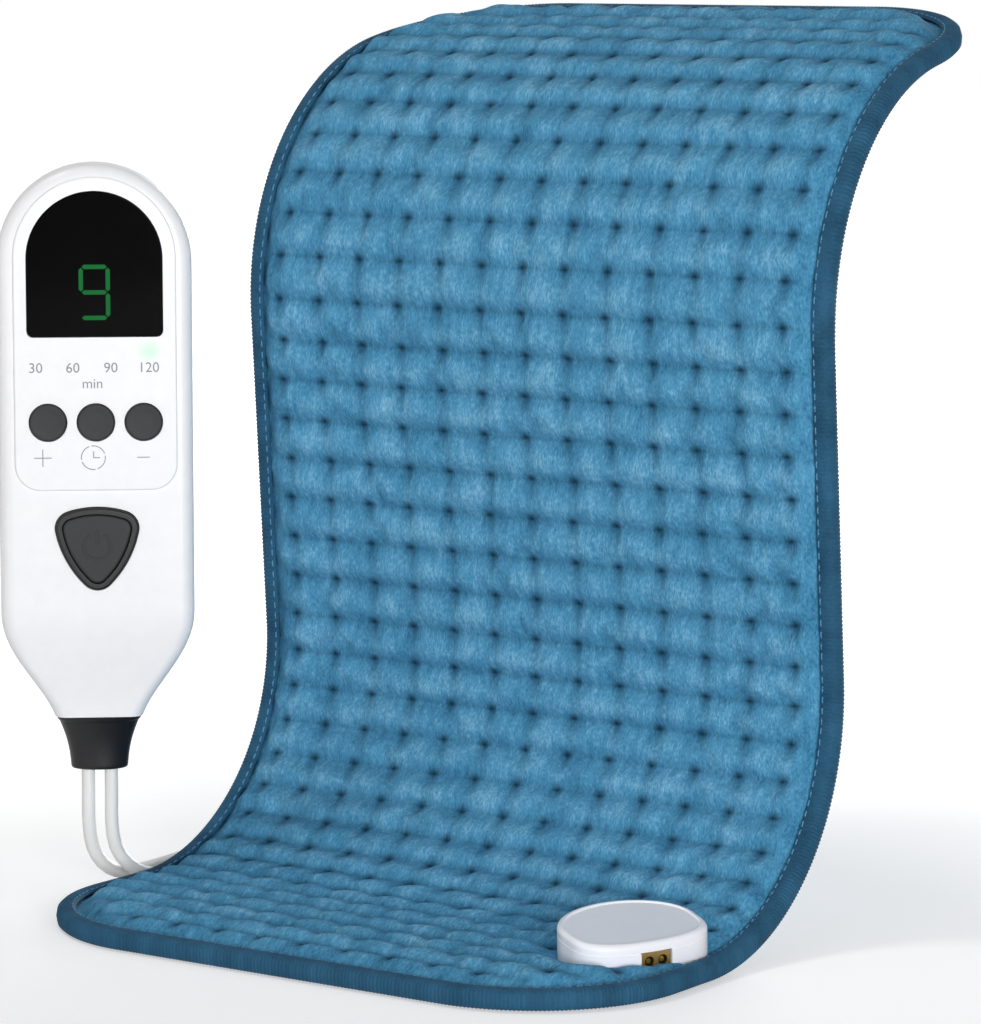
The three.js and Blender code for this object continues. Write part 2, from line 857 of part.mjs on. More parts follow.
function windowShape(grow) {
  const half = windowWidth / 2 + grow;
  const corner = windowCorner + grow;
  const bottom = drop(windowTop + windowLength) - grow;
  const shape = new THREE.Shape();
  shape.moveTo(half - corner, bottom);
  shape.absarc(half - corner, bottom + corner, corner, -Math.PI / 2, 0, false);
  shape.absarc(0, drop(windowTop + windowWidth / 2), half, 0, Math.PI, false);
  shape.absarc(corner - half, bottom + corner, corner, Math.PI, 1.5 * Math.PI, false);
  shape.closePath();
  return shape;
}

// Rounded triangle that points down
function powerShape(grow) {
  const radius = powerCornerRadius + grow;
  const centre = drop(powerDrop);
  const slant = Math.atan2(powerHalfWidth, powerUpper + powerLower);
  const shape = new THREE.Shape();
  shape.absarc(powerHalfWidth, centre + powerUpper, radius, -slant, Math.PI / 2, false);
  shape.absarc(-powerHalfWidth, centre + powerUpper, radius, Math.PI / 2, Math.PI + slant, false);
  shape.absarc(0, centre - powerLower, radius, Math.PI + slant, 2 * Math.PI - slant, false);
  shape.closePath();
  return shape;
}

const buttonColumns = [-buttonPitch, 0, buttonPitch];
const boardEndDrop = boardTop + boardLength;
const screwAcross = caseWidth / 2 - screwEdge;
const screwDrops = [ledRow + screwBelowLeds, boardEndDrop - screwAboveEnd];
const screwPlaces = [-1, 1].flatMap((side) => screwDrops.map((down) => (
  new THREE.Vector2(side * screwAcross, drop(down)))));
const bossDiameter = screwDiameter + 2 * clearance + 2 * bossWall;
const boardWidth = 2 * (screwAcross - bossDiameter / 2 - boardGap);
const postCentres = [-1, 1].flatMap((side) => screwDrops.map((down) => (
  new THREE.Vector2(side * (boardWidth / 2 - postEdge), drop(down)))));

// The board lies so far behind the face that the switches meet the stems of the buttons
const lipInner = faceInner + clearance + buttonLipThickness;
const bezelRear = faceInner + clearance + lensLipThickness;
const plungerTop = bezelRear + clearance + buttonLip + stemLength + clearance;
const switchTop = plungerTop + plungerRise;
const switchWellDepth = plungerDepth + buttonTravel + clearance;
const boardFace = switchTop + switchHeight + clearance;
const boardRear = boardFace + boardThickness;
const headSeat = caseBack - screwHeadSink - screwHeadHeight;
const screwTip = headSeat - screwLength;

function frontShell() {
  const faceRoot = faceInner - clearance;
  const outside = join(
    common(caseBody(0), caseHalf(0, caseFront, 0, -1)),
    plate(panelShape(), faceRoot, panelFace, 7),
  );
  const hollow = common(caseBody(caseWall), caseHalf(caseWall, caseFront, -overcut, -1));
  const bosses = screwPlaces.map((place) => roundRod(bossDiameter, place.x, place.y, 0, faceRoot));
  const posts = postCentres.map((place) => (
    roundRod(postDiameter, place.x, place.y, boardFace - clearance, faceRoot)));
  const screwHoles = screwPlaces.map((place) => (
    roundRod(screwDiameter + 2 * clearance, place.x, place.y, overcut, screwTip - clearance)));
  const buttonHoles = buttonColumns.map((x) => roundRod(
    buttonDiameter + 2 * buttonFit,
    x,
    drop(buttonRow),
    faceInner + overcut,
    panelFace - overcut,
    24,
  ));
  return cut(
    join(cut(outside, hollow), ...bosses, ...posts),
    ...screwHoles,
    ...buttonHoles,
    plate(windowShape(clearance), faceInner + overcut, panelFace - overcut),
    plate(powerShape(clearance), faceInner + overcut, panelFace - overcut, 4),
    bootPassage(),
  );
}

function backShell() {
  const outside = common(caseBody(0), caseHalf(0, caseBack, clearance, 1));
  const hollow = common(caseBody(caseWall), caseHalf(caseWall, caseBack, -overcut, 1));
  const inner = caseBack - caseWall + clearance;
  const bosses = screwPlaces.map((place) => roundRod(
    screwHeadDiameter + 2 * clearance + 2 * bossWall,
    place.x,
    place.y,
    inner,
    clearance,
  ));
  const posts = postCentres.map((place) => (
    roundRod(postDiameter, place.x, place.y, inner, boardRear + clearance)));
  const screwHoles = screwPlaces.map((place) => (
    roundRod(screwDiameter + 2 * clearance, place.x, place.y, caseBack, -overcut)));
  const headHoles = screwPlaces.map((place) => roundRod(
    screwHeadDiameter + 2 * clearance,
    place.x,
    place.y,
    caseBack + overcut,
    headSeat - clearance,
    16,
  ));
  const shell = join(cut(outside, hollow), ...bosses.map((boss) => common(boss, caseBody(0))), ...posts);
  return cut(shell, ...screwHoles, ...headHoles, bootPassage());
}

function displayLens() {
  return join(
    plate(windowShape(0), faceInner + clearance + lensLipThickness / 2, panelFace + lensRecess),
    plate(windowShape(lensLip), faceInner + clearance + lensLipThickness, faceInner + clearance),
  );
}

function roundButton(x) {
  const height = drop(buttonRow);
  return join(
    roundRod(buttonDiameter, x, height, lipInner - clearance, panelFace - buttonRise, 24),
    roundRod(buttonDiameter + 2 * buttonLip, x, height, lipInner, faceInner + clearance, 24),
    roundRod(stemDiameter, x, height, plungerTop - clearance, lipInner - clearance),
  );
}

// The power button's bezel is held by a lip behind the case's face, and the button by a lip behind the bezel
const bezelFace = -caseFront - bezelRise;

function powerBezel() {
  const ring = join(
    plate(powerShape(0), bezelRear - clearance, bezelFace, 4),
    plate(powerShape(lensLip), bezelRear, faceInner + clearance, 4),
  );
  return cut(ring, plate(powerShape(-bezelWidth), bezelRear + overcut, bezelFace - overcut, 4));
}

function powerButton() {
  const lipFront = bezelRear + clearance;
  return join(
    plate(powerShape(-bezelWidth - buttonFit), lipFront + buttonLip / 2, bezelFace - powerRise, 4),
    plate(powerShape(-bezelWidth + buttonLip), lipFront + buttonLip, lipFront, 4),
    roundRod(stemDiameter, 0, drop(powerDrop), plungerTop - clearance, lipFront + buttonLip / 2),
  );
}

function switchBody(x, height) {
  const size = new THREE.Vector3(switchSize, switchHeight, switchSize);
  const centre = new THREE.Vector3(x, boardFace - clearance - switchHeight / 2, height);
  const well = roundRod(
    plungerDiameter + 2 * clearance,
    x,
    height,
    switchTop + switchWellDepth,
    switchTop - overcut,
    16,
  );
  return cut(box(size, centre), well);
}

function switchPlunger(x, height) {
  return roundRod(plungerDiameter, x, height, switchTop + plungerDepth, plungerTop);
}

function controlBoard() {
  const size = new THREE.Vector3(boardWidth, boardThickness, boardLength);
  return box(size, new THREE.Vector3(0, (boardFace + boardRear) / 2, drop(boardTop + boardLength / 2)));
}

function onBoardRear(size, x, down) {
  return box(size, new THREE.Vector3(x, boardRear + clearance + size.y / 2, drop(down)));
}

function caseScrew(place) {
  return join(
    roundRod(screwDiameter, place.x, place.y, headSeat + screwHeadHeight / 2, screwTip, 8),
    roundRod(screwHeadDiameter, place.x, place.y, headSeat + screwHeadHeight, headSeat, 16),
  );
}

// Flared boot with a neck through the end of the case and a collar inside it
function cordBoot() {
  const flare = (share, inset = 0) => {
    const grow = share - bootWaist * Math.sin(Math.PI * share);
    const width = bootEndWidth + (bootTopWidth - bootEndWidth) * grow - 2 * inset;
    const depth = bootEndDepth + (bootTopDepth - bootEndDepth) * grow - 2 * inset;
    return ovalRing(width, depth, () => bootLength * share);
  };
  const neckTop = caseBottom + caseWall + clearance;
  const collarTop = neckTop + bootCollarLength;
  return loft([
    flare(0, bootEndRound),
    flare(bootEndRound / bootLength),
    ...bootFlareShares.map((share) => flare(share)),
    ovalRing(bootNeckWidth, bootNeckDepth, () => bootLength),
    ovalRing(bootNeckWidth, bootNeckDepth, () => neckTop),
    ovalRing(bootCollarWidth, bootCollarDepth, () => neckTop),
    ovalRing(bootCollarWidth, bootCollarDepth, () => collarTop),
  ]);
}

// Cords

const cordPitch = cordDiameter + turnGap;

function cordRun(points) {
  const curve = new THREE.CatmullRomCurve3(points, false, 'centripetal');
  const steps = Math.ceil(curve.getLength() / cordStepLength);
  const section = new THREE.Shape(Array.from({ length: cordSides }, (_, i) => {
    const angle = (2 * Math.PI * (i + 0.5)) / cordSides;
    return new THREE.Vector2(Math.cos(angle), Math.sin(angle)).multiplyScalar(cordDiameter / 2);
  }));
  return new THREE.ExtrudeGeometry(section, { steps, extrudePath: curve, bevelEnabled: false });
}

// A coil of two layers: it winds in on the floor, climbs in the half turn where it reverses, and winds out
function coilPoints(coil) {
  const inner = coil.radius - cordPitch * coil.turns;
  const climb = cordDiameter + layerGap;
  const total = 2 * coil.turns + climbTurns;
  const at = (turn) => {
    const angle = coil.start + coil.sense * 2 * Math.PI * turn;
    const past = turn - coil.turns;
    const rise = Math.min(Math.max(past / climbTurns, 0), 1);
    const dip = Math.max(climbTurns / 2 - Math.abs(past - climbTurns / 2), 0);
    const wound = past < 0 ? -past : Math.max(past - climbTurns, 0);
    const radius = inner + cordPitch * (wound - dip);
    return new THREE.Vector3(
      coil.centre.x + radius * Math.cos(angle),
      coil.centre.y + radius * Math.sin(angle),
      cordFloorLevel + climb * (rise - Math.sin(2 * Math.PI * rise) / (2 * Math.PI)),
    );
  };
  const steps = Math.round(total * loopSteps);
  const points = Array.from({ length: steps + 1 }, (_, i) => at((total * i) / steps));
  const heading = new THREE.Vector3(-Math.sin(coil.start), Math.cos(coil.start), 0);
  heading.multiplyScalar(coil.sense * cordDiameter);
  points.unshift(points[0].clone().sub(heading));
  const exit = coil.start + coil.sense * 2 * Math.PI * total;
  const leaving = new THREE.Vector3(-Math.sin(exit), Math.cos(exit), 0);
  points.push(points.at(-1).clone().addScaledVector(leaving, coil.sense * cordDiameter));
  return points;
}

// Least gap of a wound tube to itself, between points more than half a turn apart
function leastGap(points) {
  let least = Infinity;
  for (let i = 0; i < points.length; i += 1) {
    for (let j = i + loopSteps / 2; j < points.length; j += 1) {
      least = Math.min(least, points[i].distanceTo(points[j]) - cordDiameter);
    }
  }
  return least;
}

function cordCoil(name, coil) {
  const points = coilPoints(coil);
  console.log(`${name}: least gap to itself ${leastGap(points).toFixed(2)} mm`);
  const up = points.map(() => new THREE.Vector3(0, 0, 1));
  return { geometry: tube(points, up, cordDiameter, loopSides), first: points[0], last: points.at(-1) };
}

// Where a cord leaves the boot, by the side of the boot it is on
function cordExit(side) {
  const across = (side * cordSpacing) / 2;
  return new THREE.Vector3(across, 0, -clearance)
    .applyAxisAngle(new THREE.Vector3(0, 0, 1), controllerTurn)
    .add(controllerPlace);
}

function beside(point, x, y) {
  return point.clone().add(new THREE.Vector3(x, y, 0));
}

function onFloor(x, y, lift = 0) {
  return new THREE.Vector3(x, y, cordFloorLevel + lift);
}

// Plugs: built with the cord's end at the origin and the contacts towards +X

function plugBody(size) {
  const middle = size.z / 2;
  const ring = (x, share) => ovalRing(size.z * share, size.y * share, () => x, plugSides)
    .map((point) => new THREE.Vector3(point.z, point.y, middle - point.x));
  const corner = (x, share) => Array.from({ length: plugSides }, (_, i) => {
    const angle = (2 * Math.PI * i) / plugSides;
    const [c, s] = [Math.cos(angle), Math.sin(angle)];
    const square = (value) => Math.sign(value) * Math.abs(value) ** plugSquareness;
    return new THREE.Vector3(x, (square(s) * size.y * share) / 2, middle - (square(c) * size.z * share) / 2);
  });
  return loft([
    ring(0, plugGripShare),
    ring(plugGripLength, plugGripShare),
    corner(plugGripLength * 2, plugShoulderShare),
    corner(size.x - plugFaceRound, 1),
    corner(size.x, plugFaceShare),
  ]);
}

function plugBlade(side, grow = 0) {
  const x = mainsPlugSize.x - bladeSeat + bladeSize.x / 2;
  const size = bladeSize.clone().addScalar(2 * grow);
  return box(size, new THREE.Vector3(x, (side * bladePitch) / 2, mainsPlugSize.z / 2));
}

function mainsPlug() {
  return cut(plugBody(mainsPlugSize), plugBlade(-1, clearance), plugBlade(1, clearance));
}

function sleeve(side) {
  const inner = (contactDiameter + sleeveFit) / 2;
  const outer = sleeveDiameter / 2;
  const profile = [[inner, 0], [outer, 0], [outer, sleeveLength], [inner, sleeveLength], [inner, 0]];
  return new THREE.LatheGeometry(profile.map(([x, y]) => new THREE.Vector2(x, y)), 12)
    .rotateZ(-Math.PI / 2)
    .translate(padPlugSize.x - sleeveLength - clearance, (side * contactPitch) / 2, padPlugSize.z / 2);
}

function padPlug() {
  const length = sleeveLength + clearance + overcut;
  const holes = [-1, 1].map((side) => new THREE.CylinderGeometry(
    sleeveDiameter / 2 + clearance,
    sleeveDiameter / 2 + clearance,
    length,
    12,
  )
    .rotateZ(Math.PI / 2)
    .translate(
      padPlugSize.x - sleeveLength - 2 * clearance + length / 2,
      (side * contactPitch) / 2,
      padPlugSize.z / 2,
    ));
  return cut(plugBody(padPlugSize), ...holes);
}

// Assembly

const heatingPad = new THREE.Group();

const socketHole = socketPrism(
  socketDepth + 2 * clearance,
  socketBreadth + 2 * clearance,
  socketBottom - clearance,
  swellLevel + overcut,
)
  .rotateZ(socketTurn)
  .rotateX(socketTilt)
  .translate(socketAcross, socketFromFront - flatLength / 2, socketLift);

const pad = new THREE.Group();
heatingPad.add(pad);
addPart(pad, 'front_cover', cut(frontCover(), socketHole), material(plushBlue, 0.95));
const battingSheet = padLayer([
  { inset: slopeEnd + clearance, level: battingTop },
  { inset: slopeEnd + clearance, level: battingBottom },
]);
addPart(pad, 'batting', cut(battingSheet, socketHole), material(battingWhite, 0.95));
addPart(pad, 'heating_wire', heatingWire(), material(wireRed, 0.6));
const carrierSheet = padLayer([
  { inset: backSlopeEnd + clearance, level: carrierTop },
  { inset: backSlopeEnd + clearance, level: carrierBottom },
]);
addPart(pad, 'wire_carrier', carrierSheet, material(battingWhite, 0.9));
addPart(pad, 'back_cover', backCover(), material(backBlue, 0.95));
addPart(pad, 'edge_binding', edgeBinding(), material(bindingBlue, 0.85));
thermostatPlaces.forEach((across, i) => {
  const along = (tuftRows[1] + tuftRows[1 + wireRowStep]) / 2 - flatLength / 2;
  const level = carrierTop + clearance + thermostatSize.z / 2;
  const thermostat = box(thermostatSize, new THREE.Vector3(across, along, level));
  addPart(pad, `thermostat_${i + 1}`, thermostat, material(partBlack, 0.5));
});

const socket = new THREE.Group();
socket.position.set(socketAcross, socketFromFront - flatLength / 2, socketLift);
socket.rotation.set(socketTilt, 0, socketTurn);
heatingPad.add(socket);
addPart(socket, 'socket_shell', socketShell(), material(socketWhite, 0.35));
const socketFloor = socketPrism(
  socketBaseDepth,
  socketBaseBreadth,
  socketBottom,
  socketBottom + socketBaseThickness,
);
addPart(socket, 'socket_base', socketFloor, material(socketWhite, 0.4));
addPart(socket, 'socket_insert', socketInsert(), material(brass, 0.5, 0.3));
for (const [name, side] of [['left', 1], ['right', -1]]) {
  const contact = contactRod(contactDiameter, contactLength, contactStart, side);
  addPart(socket, `contact_pin_${name}`, contact, material(steel, 0.25, 0.9));
}

const controller = new THREE.Group();
controller.position.copy(controllerPlace);
controller.rotation.z = controllerTurn;
heatingPad.add(controller);
const white = material(caseWhite, 0.35);
const dark = material(rubberGrey, 0.6);
const metal = material(steel, 0.3, 0.9);
addPart(controller, 'front_shell', frontShell(), white);
addPart(controller, 'back_shell', backShell(), white);
addPart(controller, 'display_lens', displayLens(), material(lensBlack, 0.1));
const displayRear = boardFace - clearance;
const displayFront = faceInner + 2 * clearance + lensLipThickness;
const displaySize = new THREE.Vector3(displayWidth, displayRear - displayFront, displayLength);
const displayCentre = new THREE.Vector3(0, (displayRear + displayFront) / 2, drop(displayDrop));
addPart(controller, 'display_module', box(displaySize, displayCentre), material(partBlack, 0.5));
addPart(controller, 'control_board', controlBoard(), material(boardGreen, 0.5));
['30', '60', '90', '120'].forEach((minutes, i) => {
  const led = roundRod(
    ledDiameter,
    (i - 1.5) * ledPitch,
    drop(ledRow),
    boardFace - clearance,
    faceInner + clearance,
  );
  addPart(controller, `timer_led_${minutes}`, led, material(ledGreen, 0.3));
});
['plus', 'timer', 'minus'].forEach((name, i) => {
  const height = drop(buttonRow);
  addPart(controller, `${name}_button`, roundButton(buttonColumns[i]), dark);
  addPart(controller, `${name}_switch`, switchBody(buttonColumns[i], height), metal);
  addPart(controller, `${name}_switch_plunger`, switchPlunger(buttonColumns[i], height), dark);
});
addPart(controller, 'power_bezel', powerBezel(), material(bootBlack, 0.5));
addPart(controller, 'power_button', powerButton(), dark);
addPart(controller, 'power_switch', switchBody(0, drop(powerDrop)), metal);
addPart(controller, 'power_switch_plunger', switchPlunger(0, drop(powerDrop)), dark);
const chip = onBoardRear(controllerChipSize, 0, ledRow + chipBelowLeds);
addPart(controller, 'microcontroller', chip, material(partBlack, 0.5));
const terminalDrop = boardEndDrop - terminalEdge - terminalSize.z / 2;
const fuseDrop = terminalDrop - terminalSize.z / 2 - fuseGap - fuseDiameter / 2;
const triacEnd = fuseDrop - fuseDiameter / 2 - triacGap;
const triac = onBoardRear(triacSize, triacAcross, triacEnd - triacSize.z / 2);
addPart(controller, 'triac', triac, material(partBlack, 0.5));
const capacitor = onBoardRear(capacitorSize, capacitorAcross, triacEnd - capacitorSize.z / 2);
addPart(controller, 'capacitor', capacitor, material(brass, 0.5));
const fuse = new THREE.CylinderGeometry(fuseDiameter / 2, fuseDiameter / 2, fuseLength, 12)
  .rotateZ(Math.PI / 2)
  .translate(0, boardRear + clearance + fuseDiameter / 2, drop(fuseDrop));
addPart(controller, 'fuse', fuse, metal);
addPart(controller, 'terminal_block', onBoardRear(terminalSize, 0, terminalDrop), material(boardGreen, 0.6));
screwPlaces.forEach((place, i) => {
  addPart(controller, `case_screw_${i + 1}`, caseScrew(place), metal);
});
addPart(controller, 'cord_boot', cordBoot(), material(bootBlack, 0.7));

const cordLook = material(cordWhite, 0.5);
const mainsExit = cordExit(-1);
const padExit = cordExit(1);
const mainsWound = cordCoil('mains_lead_coil', mainsCoil);
const padWound = cordCoil('pad_lead_coil', padCoil);
const besidePad = -(padWidth / 2 + clearance + cordDiameter / 2);
const mainsGrip = new THREE.Vector3(-clearance, 0, mainsPlugSize.z / 2).add(mainsPlugPlace);
const padGrip = new THREE.Vector3(0, clearance, padPlugSize.z / 2).add(padPlugPlace);

addPart(heatingPad, 'mains_lead_run', cordRun([
  mainsExit,
  mainsExit.clone().setZ(34),
  mainsExit.clone().setZ(24),
  beside(mainsExit, 0, 1.6).setZ(15.2),
  beside(mainsExit, 0.3, 6).setZ(8.5),
  onFloor(-135.2, 45.7, 1.6),
  onFloor(-134.4, 54.5),
  onFloor(-135.5, 90),
  onFloor(-142, 130),
  onFloor(-149, 172),
  beside(mainsWound.first, 0, -2 * cordDiameter),
  beside(mainsWound.first, 0, -clearance),
]), cordLook);
addPart(heatingPad, 'mains_lead_coil', mainsWound.geometry, cordLook);
addPart(heatingPad, 'mains_lead_tail', cordRun([
  beside(mainsWound.last, 0, clearance),
  beside(mainsWound.last, 0, 2 * cordDiameter),
  onFloor(-146, 241, 1.5),
  onFloor(-133, 262),
  onFloor(-112, 274, 1.5),
  beside(mainsGrip, -2 * cordDiameter, 0),
  mainsGrip,
]), cordLook);

addPart(heatingPad, 'pad_lead_run', cordRun([
  padExit,
  padExit.clone().setZ(33),
  padExit.clone().setZ(23),
  beside(padExit, 0.4, 1.5).setZ(14.5),
  beside(padExit, 2, 5.4).setZ(8.2),
  onFloor(besidePad - 2.9, 49.4, 1.5),
  onFloor(besidePad - 0.9, 55.8),
  onFloor(besidePad, 62),
  onFloor(besidePad, 70),
  onFloor(besidePad - 0.1, 78),
  onFloor(-122, 100),
  onFloor(-116, 124),
  onFloor(-101, 143),
  onFloor(-80, 155),
  onFloor(-55, 163),
  beside(padWound.first, -2 * cordDiameter, 0),
  beside(padWound.first, -clearance, 0),
]), cordLook);
addPart(heatingPad, 'pad_lead_coil', padWound.geometry, cordLook);
addPart(heatingPad, 'pad_lead_tail', cordRun([
  beside(padWound.last, clearance, 0),
  beside(padWound.last, 2 * cordDiameter, 0),
  onFloor(4.5, 171, 5.3),
  onFloor(13.9, 169.1, 4.8),
  onFloor(21.8, 163.8, 4),
  onFloor(27.1, 155.9, 3.2),
  beside(padGrip, 0, 2 * cordDiameter),
  padGrip,
]), cordLook);

const mainsPlugGroup = new THREE.Group();
mainsPlugGroup.position.copy(mainsPlugPlace);
heatingPad.add(mainsPlugGroup);
addPart(mainsPlugGroup, 'mains_plug', mainsPlug(), white);
addPart(mainsPlugGroup, 'mains_plug_blade_left', plugBlade(1), metal);
addPart(mainsPlugGroup, 'mains_plug_blade_right', plugBlade(-1), metal);

const padPlugGroup = new THREE.Group();
padPlugGroup.position.copy(padPlugPlace);
padPlugGroup.rotation.z = -Math.PI / 2;
heatingPad.add(padPlugGroup);
addPart(padPlugGroup, 'pad_plug', padPlug(), white);
addPart(padPlugGroup, 'pad_plug_sleeve_left', sleeve(1), metal);
addPart(padPlugGroup, 'pad_plug_sleeve_right', sleeve(-1), metal);

export default heatingPad;
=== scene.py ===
import math
import bpy
import numpy as np
from mathutils import Matrix, Vector


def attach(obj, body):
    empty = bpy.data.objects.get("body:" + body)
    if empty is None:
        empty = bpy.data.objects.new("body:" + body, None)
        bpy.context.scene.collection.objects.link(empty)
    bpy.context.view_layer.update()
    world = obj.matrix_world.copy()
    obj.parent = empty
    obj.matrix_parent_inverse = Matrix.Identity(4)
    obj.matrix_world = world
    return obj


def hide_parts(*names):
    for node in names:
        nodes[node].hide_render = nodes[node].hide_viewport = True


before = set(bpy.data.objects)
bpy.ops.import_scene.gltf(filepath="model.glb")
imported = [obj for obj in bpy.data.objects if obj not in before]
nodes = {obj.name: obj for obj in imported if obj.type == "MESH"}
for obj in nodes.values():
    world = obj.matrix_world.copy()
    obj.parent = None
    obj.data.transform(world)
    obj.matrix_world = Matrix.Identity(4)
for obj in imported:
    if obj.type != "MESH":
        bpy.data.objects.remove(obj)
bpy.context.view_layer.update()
rootBody = "pad_and_controller"
metal = {"Metallic": 1.0}
print("frame loaded with", len(nodes), "solids")


# sRGB hex to the linear colour that shaders take
def hexColor(text):
    channels = [int(text[i:i + 2], 16) / 255 for i in (1, 3, 5)]
    linear = [c / 12.92 if c <= 0.04045 else ((c + 0.055) / 1.055) ** 2.4 for c in channels]
    return (*linear, 1.0)


# links into a node: each comes from a socket, or from the first output of another node
def wire(tree, node, links):
    for name, source in links.items():
        if isinstance(source, bpy.types.Node):
            source = source.outputs[0]
        tree.links.new(source, node.inputs[name])


# adds a node: settings are sockets or properties
def addNode(tree, kind, settings=None, links=None):
    node = tree.nodes.new("ShaderNode" + kind)
    for name, value in (settings or {}).items():
        if isinstance(name, int) or name in node.inputs:
            node.inputs[name].default_value = value
        else:
            setattr(node, name, value)
    wire(tree, node, links or {})
    return node


# 1 for the rays that show the eye what they meet: camera, mirror and clear ones
def raysThatSee(tree):
    rays = addNode(tree, "LightPath").outputs
    eye = addNode(tree, "Math", {"operation": "MAXIMUM"}, {0: rays["Is Camera Ray"], 1: rays["Is Glossy Ray"]})
    return addNode(tree, "Math", {"operation": "MAXIMUM"}, {0: eye, 1: rays["Is Transmission Ray"]})


def newMaterial(name, settings):
    made = bpy.data.materials.new(name)
    made.use_nodes = True
    shader = made.node_tree.nodes["Principled BSDF"]
    for socket, value in settings.items():
        shader.inputs[socket].default_value = value
    return made, made.node_tree, shader


# a grained finish: two close colours mixed by noise, roughness that varies, and a fine bump
# the grain is in metres, and drawn a little coarser than the real one so that it shows
def grainedMaterial(name, colors, rough, grain, bump, settings=None):
    made, tree, shader = newMaterial(name, settings or {})
    where = addNode(tree, "TexCoord").outputs["Object"]
    wide, fine = (
        addNode(tree, "TexNoise", {"Scale": share / grain, "Detail": detail}, {"Vector": where})
        for share, detail in ((0.12, 3), (1, 2))
    )
    first, second = map(hexColor, colors)
    tone = addNode(tree, "Mix", {"data_type": "RGBA", 6: first, 7: second}, {0: wide})
    gloss = addNode(tree, "MapRange", {"To Min": rough[0], "To Max": rough[1]}, {"Value": fine})
    relief = addNode(tree, "Bump", {"Strength": bump, "Distance": grain * 0.1}, {"Height": fine})
    wire(tree, shader, {"Base Color": tone.outputs[2], "Roughness": gloss, "Normal": relief})
    return made


# names a finished piece and ties it to its body, its finish and the solids it stands for
def dress(piece, name, body, material, replaced=()):
    piece.name = name
    piece.data.name = name
    piece.data.materials.clear()
    piece.data.materials.append(material)
    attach(piece, body)
    if replaced:
        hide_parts(*replaced)
    return piece


# selects these pieces and no others, and makes the first one active
def choose(*pieces):
    bpy.ops.object.select_all(action="DESELECT")
    for piece in pieces:
        piece.select_set(True)
    if pieces:
        bpy.context.view_layer.objects.active = pieces[0]


def applyModifier(piece, kind, settings):
    choose(piece)
    made = piece.modifiers.new(kind.lower(), kind)
    for name, value in settings.items():
        setattr(made, name, value)
    bpy.ops.object.modifier_apply(modifier=made.name)


def smoothPiece(piece, angle=32):
    choose(piece)
    bpy.ops.object.shade_smooth_by_angle(angle=math.radians(angle))
    applyModifier(piece, "WEIGHTED_NORMAL", {"keep_sharp": True})


# cuts with other pieces, which are used up
def carve(piece, *tools, operation="DIFFERENCE"):
    for tool in tools:
        applyModifier(piece, "BOOLEAN", {"operation": operation, "object": tool, "solver": "EXACT"})
        bpy.data.objects.remove(tool)


def fuse(piece, *tools):
    carve(piece, *tools, operation="UNION")


def meshPiece(name, points, faces):
    mesh = bpy.data.meshes.new(name)
    mesh.from_pydata(points.tolist(), [], faces)
    piece = bpy.data.objects.new(name, mesh)
    bpy.context.scene.collection.objects.link(piece)
    return piece


# a grid rolled up so that its rows become closed rings, whose doubles are then merged
def rolledGrid(name, rings, place=None):
    rings = np.array(rings, float)
    rings = np.concatenate([rings, rings[:, :1]], 1)
    rows, columns = rings.shape[:2]
    choose()
    bpy.ops.mesh.primitive_grid_add(x_subdivisions=columns - 1, y_subdivisions=rows - 1, size=1)
    piece = bpy.context.object
    piece.name = name
    piece.data.vertices.foreach_set("co", rings.reshape(-1))
    if place is not None:
        piece.data.transform(place)
    bpy.ops.object.mode_set(mode="EDIT")
    bpy.ops.mesh.select_all(action="SELECT")
    bpy.ops.mesh.remove_doubles(threshold=2e-6)
    bpy.ops.mesh.normals_make_consistent(inside=False)
    bpy.ops.object.mode_set(mode="OBJECT")
    return piece


# a flat ring drawn out straight to a solid
def prism(name, ring, way, place=None):
    choose()
    bpy.ops.mesh.primitive_circle_add(vertices=len(ring), fill_type="NGON")
    piece = bpy.context.object
    piece.name = name
    piece.data.vertices.foreach_set("co", np.array(ring, float).reshape(-1))
    bpy.ops.object.mode_set(mode="EDIT")
    bpy.ops.mesh.select_all(action="SELECT")
    bpy.ops.mesh.extrude_region_move(TRANSFORM_OT_translate={"value": way})
    bpy.ops.mesh.select_all(action="SELECT")
    bpy.ops.mesh.normals_make_consistent(inside=False)
    bpy.ops.object.mode_set(mode="OBJECT")
    if place is not None:
        piece.data.transform(place)
    return piece


def arc(centre, radius, start, end, steps):
    angle = np.linspace(start, end, steps)
    return np.stack([centre[0] + radius * np.cos(angle), centre[1] + radius * np.sin(angle)], 1)


# an oval about a centre, without a closing point
def oval(centre, width, height, sides):
    angle = np.linspace(0, 2 * np.pi, sides, endpoint=False)
    return np.stack([centre[0] + width / 2 * np.cos(angle), centre[1] + height / 2 * np.sin(angle)], 1)


def smoothStep(share):
    share = np.clip(share, 0, 1)
    return share * share * (3 - 2 * share)


# camera at the photograph's place: a long lens, a little above the controller's middle
cameraSet = {"place": (0.86265, -1.15063, 0.33391), "yaw": 0.6098, "pitch": 0.1295, "lens": 157.3}
choose()
bpy.ops.object.camera_add(
    location=cameraSet["place"],
    rotation=(math.pi / 2 - cameraSet["pitch"], 0, cameraSet["yaw"]),
)
camera = bpy.context.object
camera.data.lens = cameraSet["lens"]
camera.data.sensor_width = 36
camera.data.clip_start = 0.05
bpy.context.scene.camera = camera

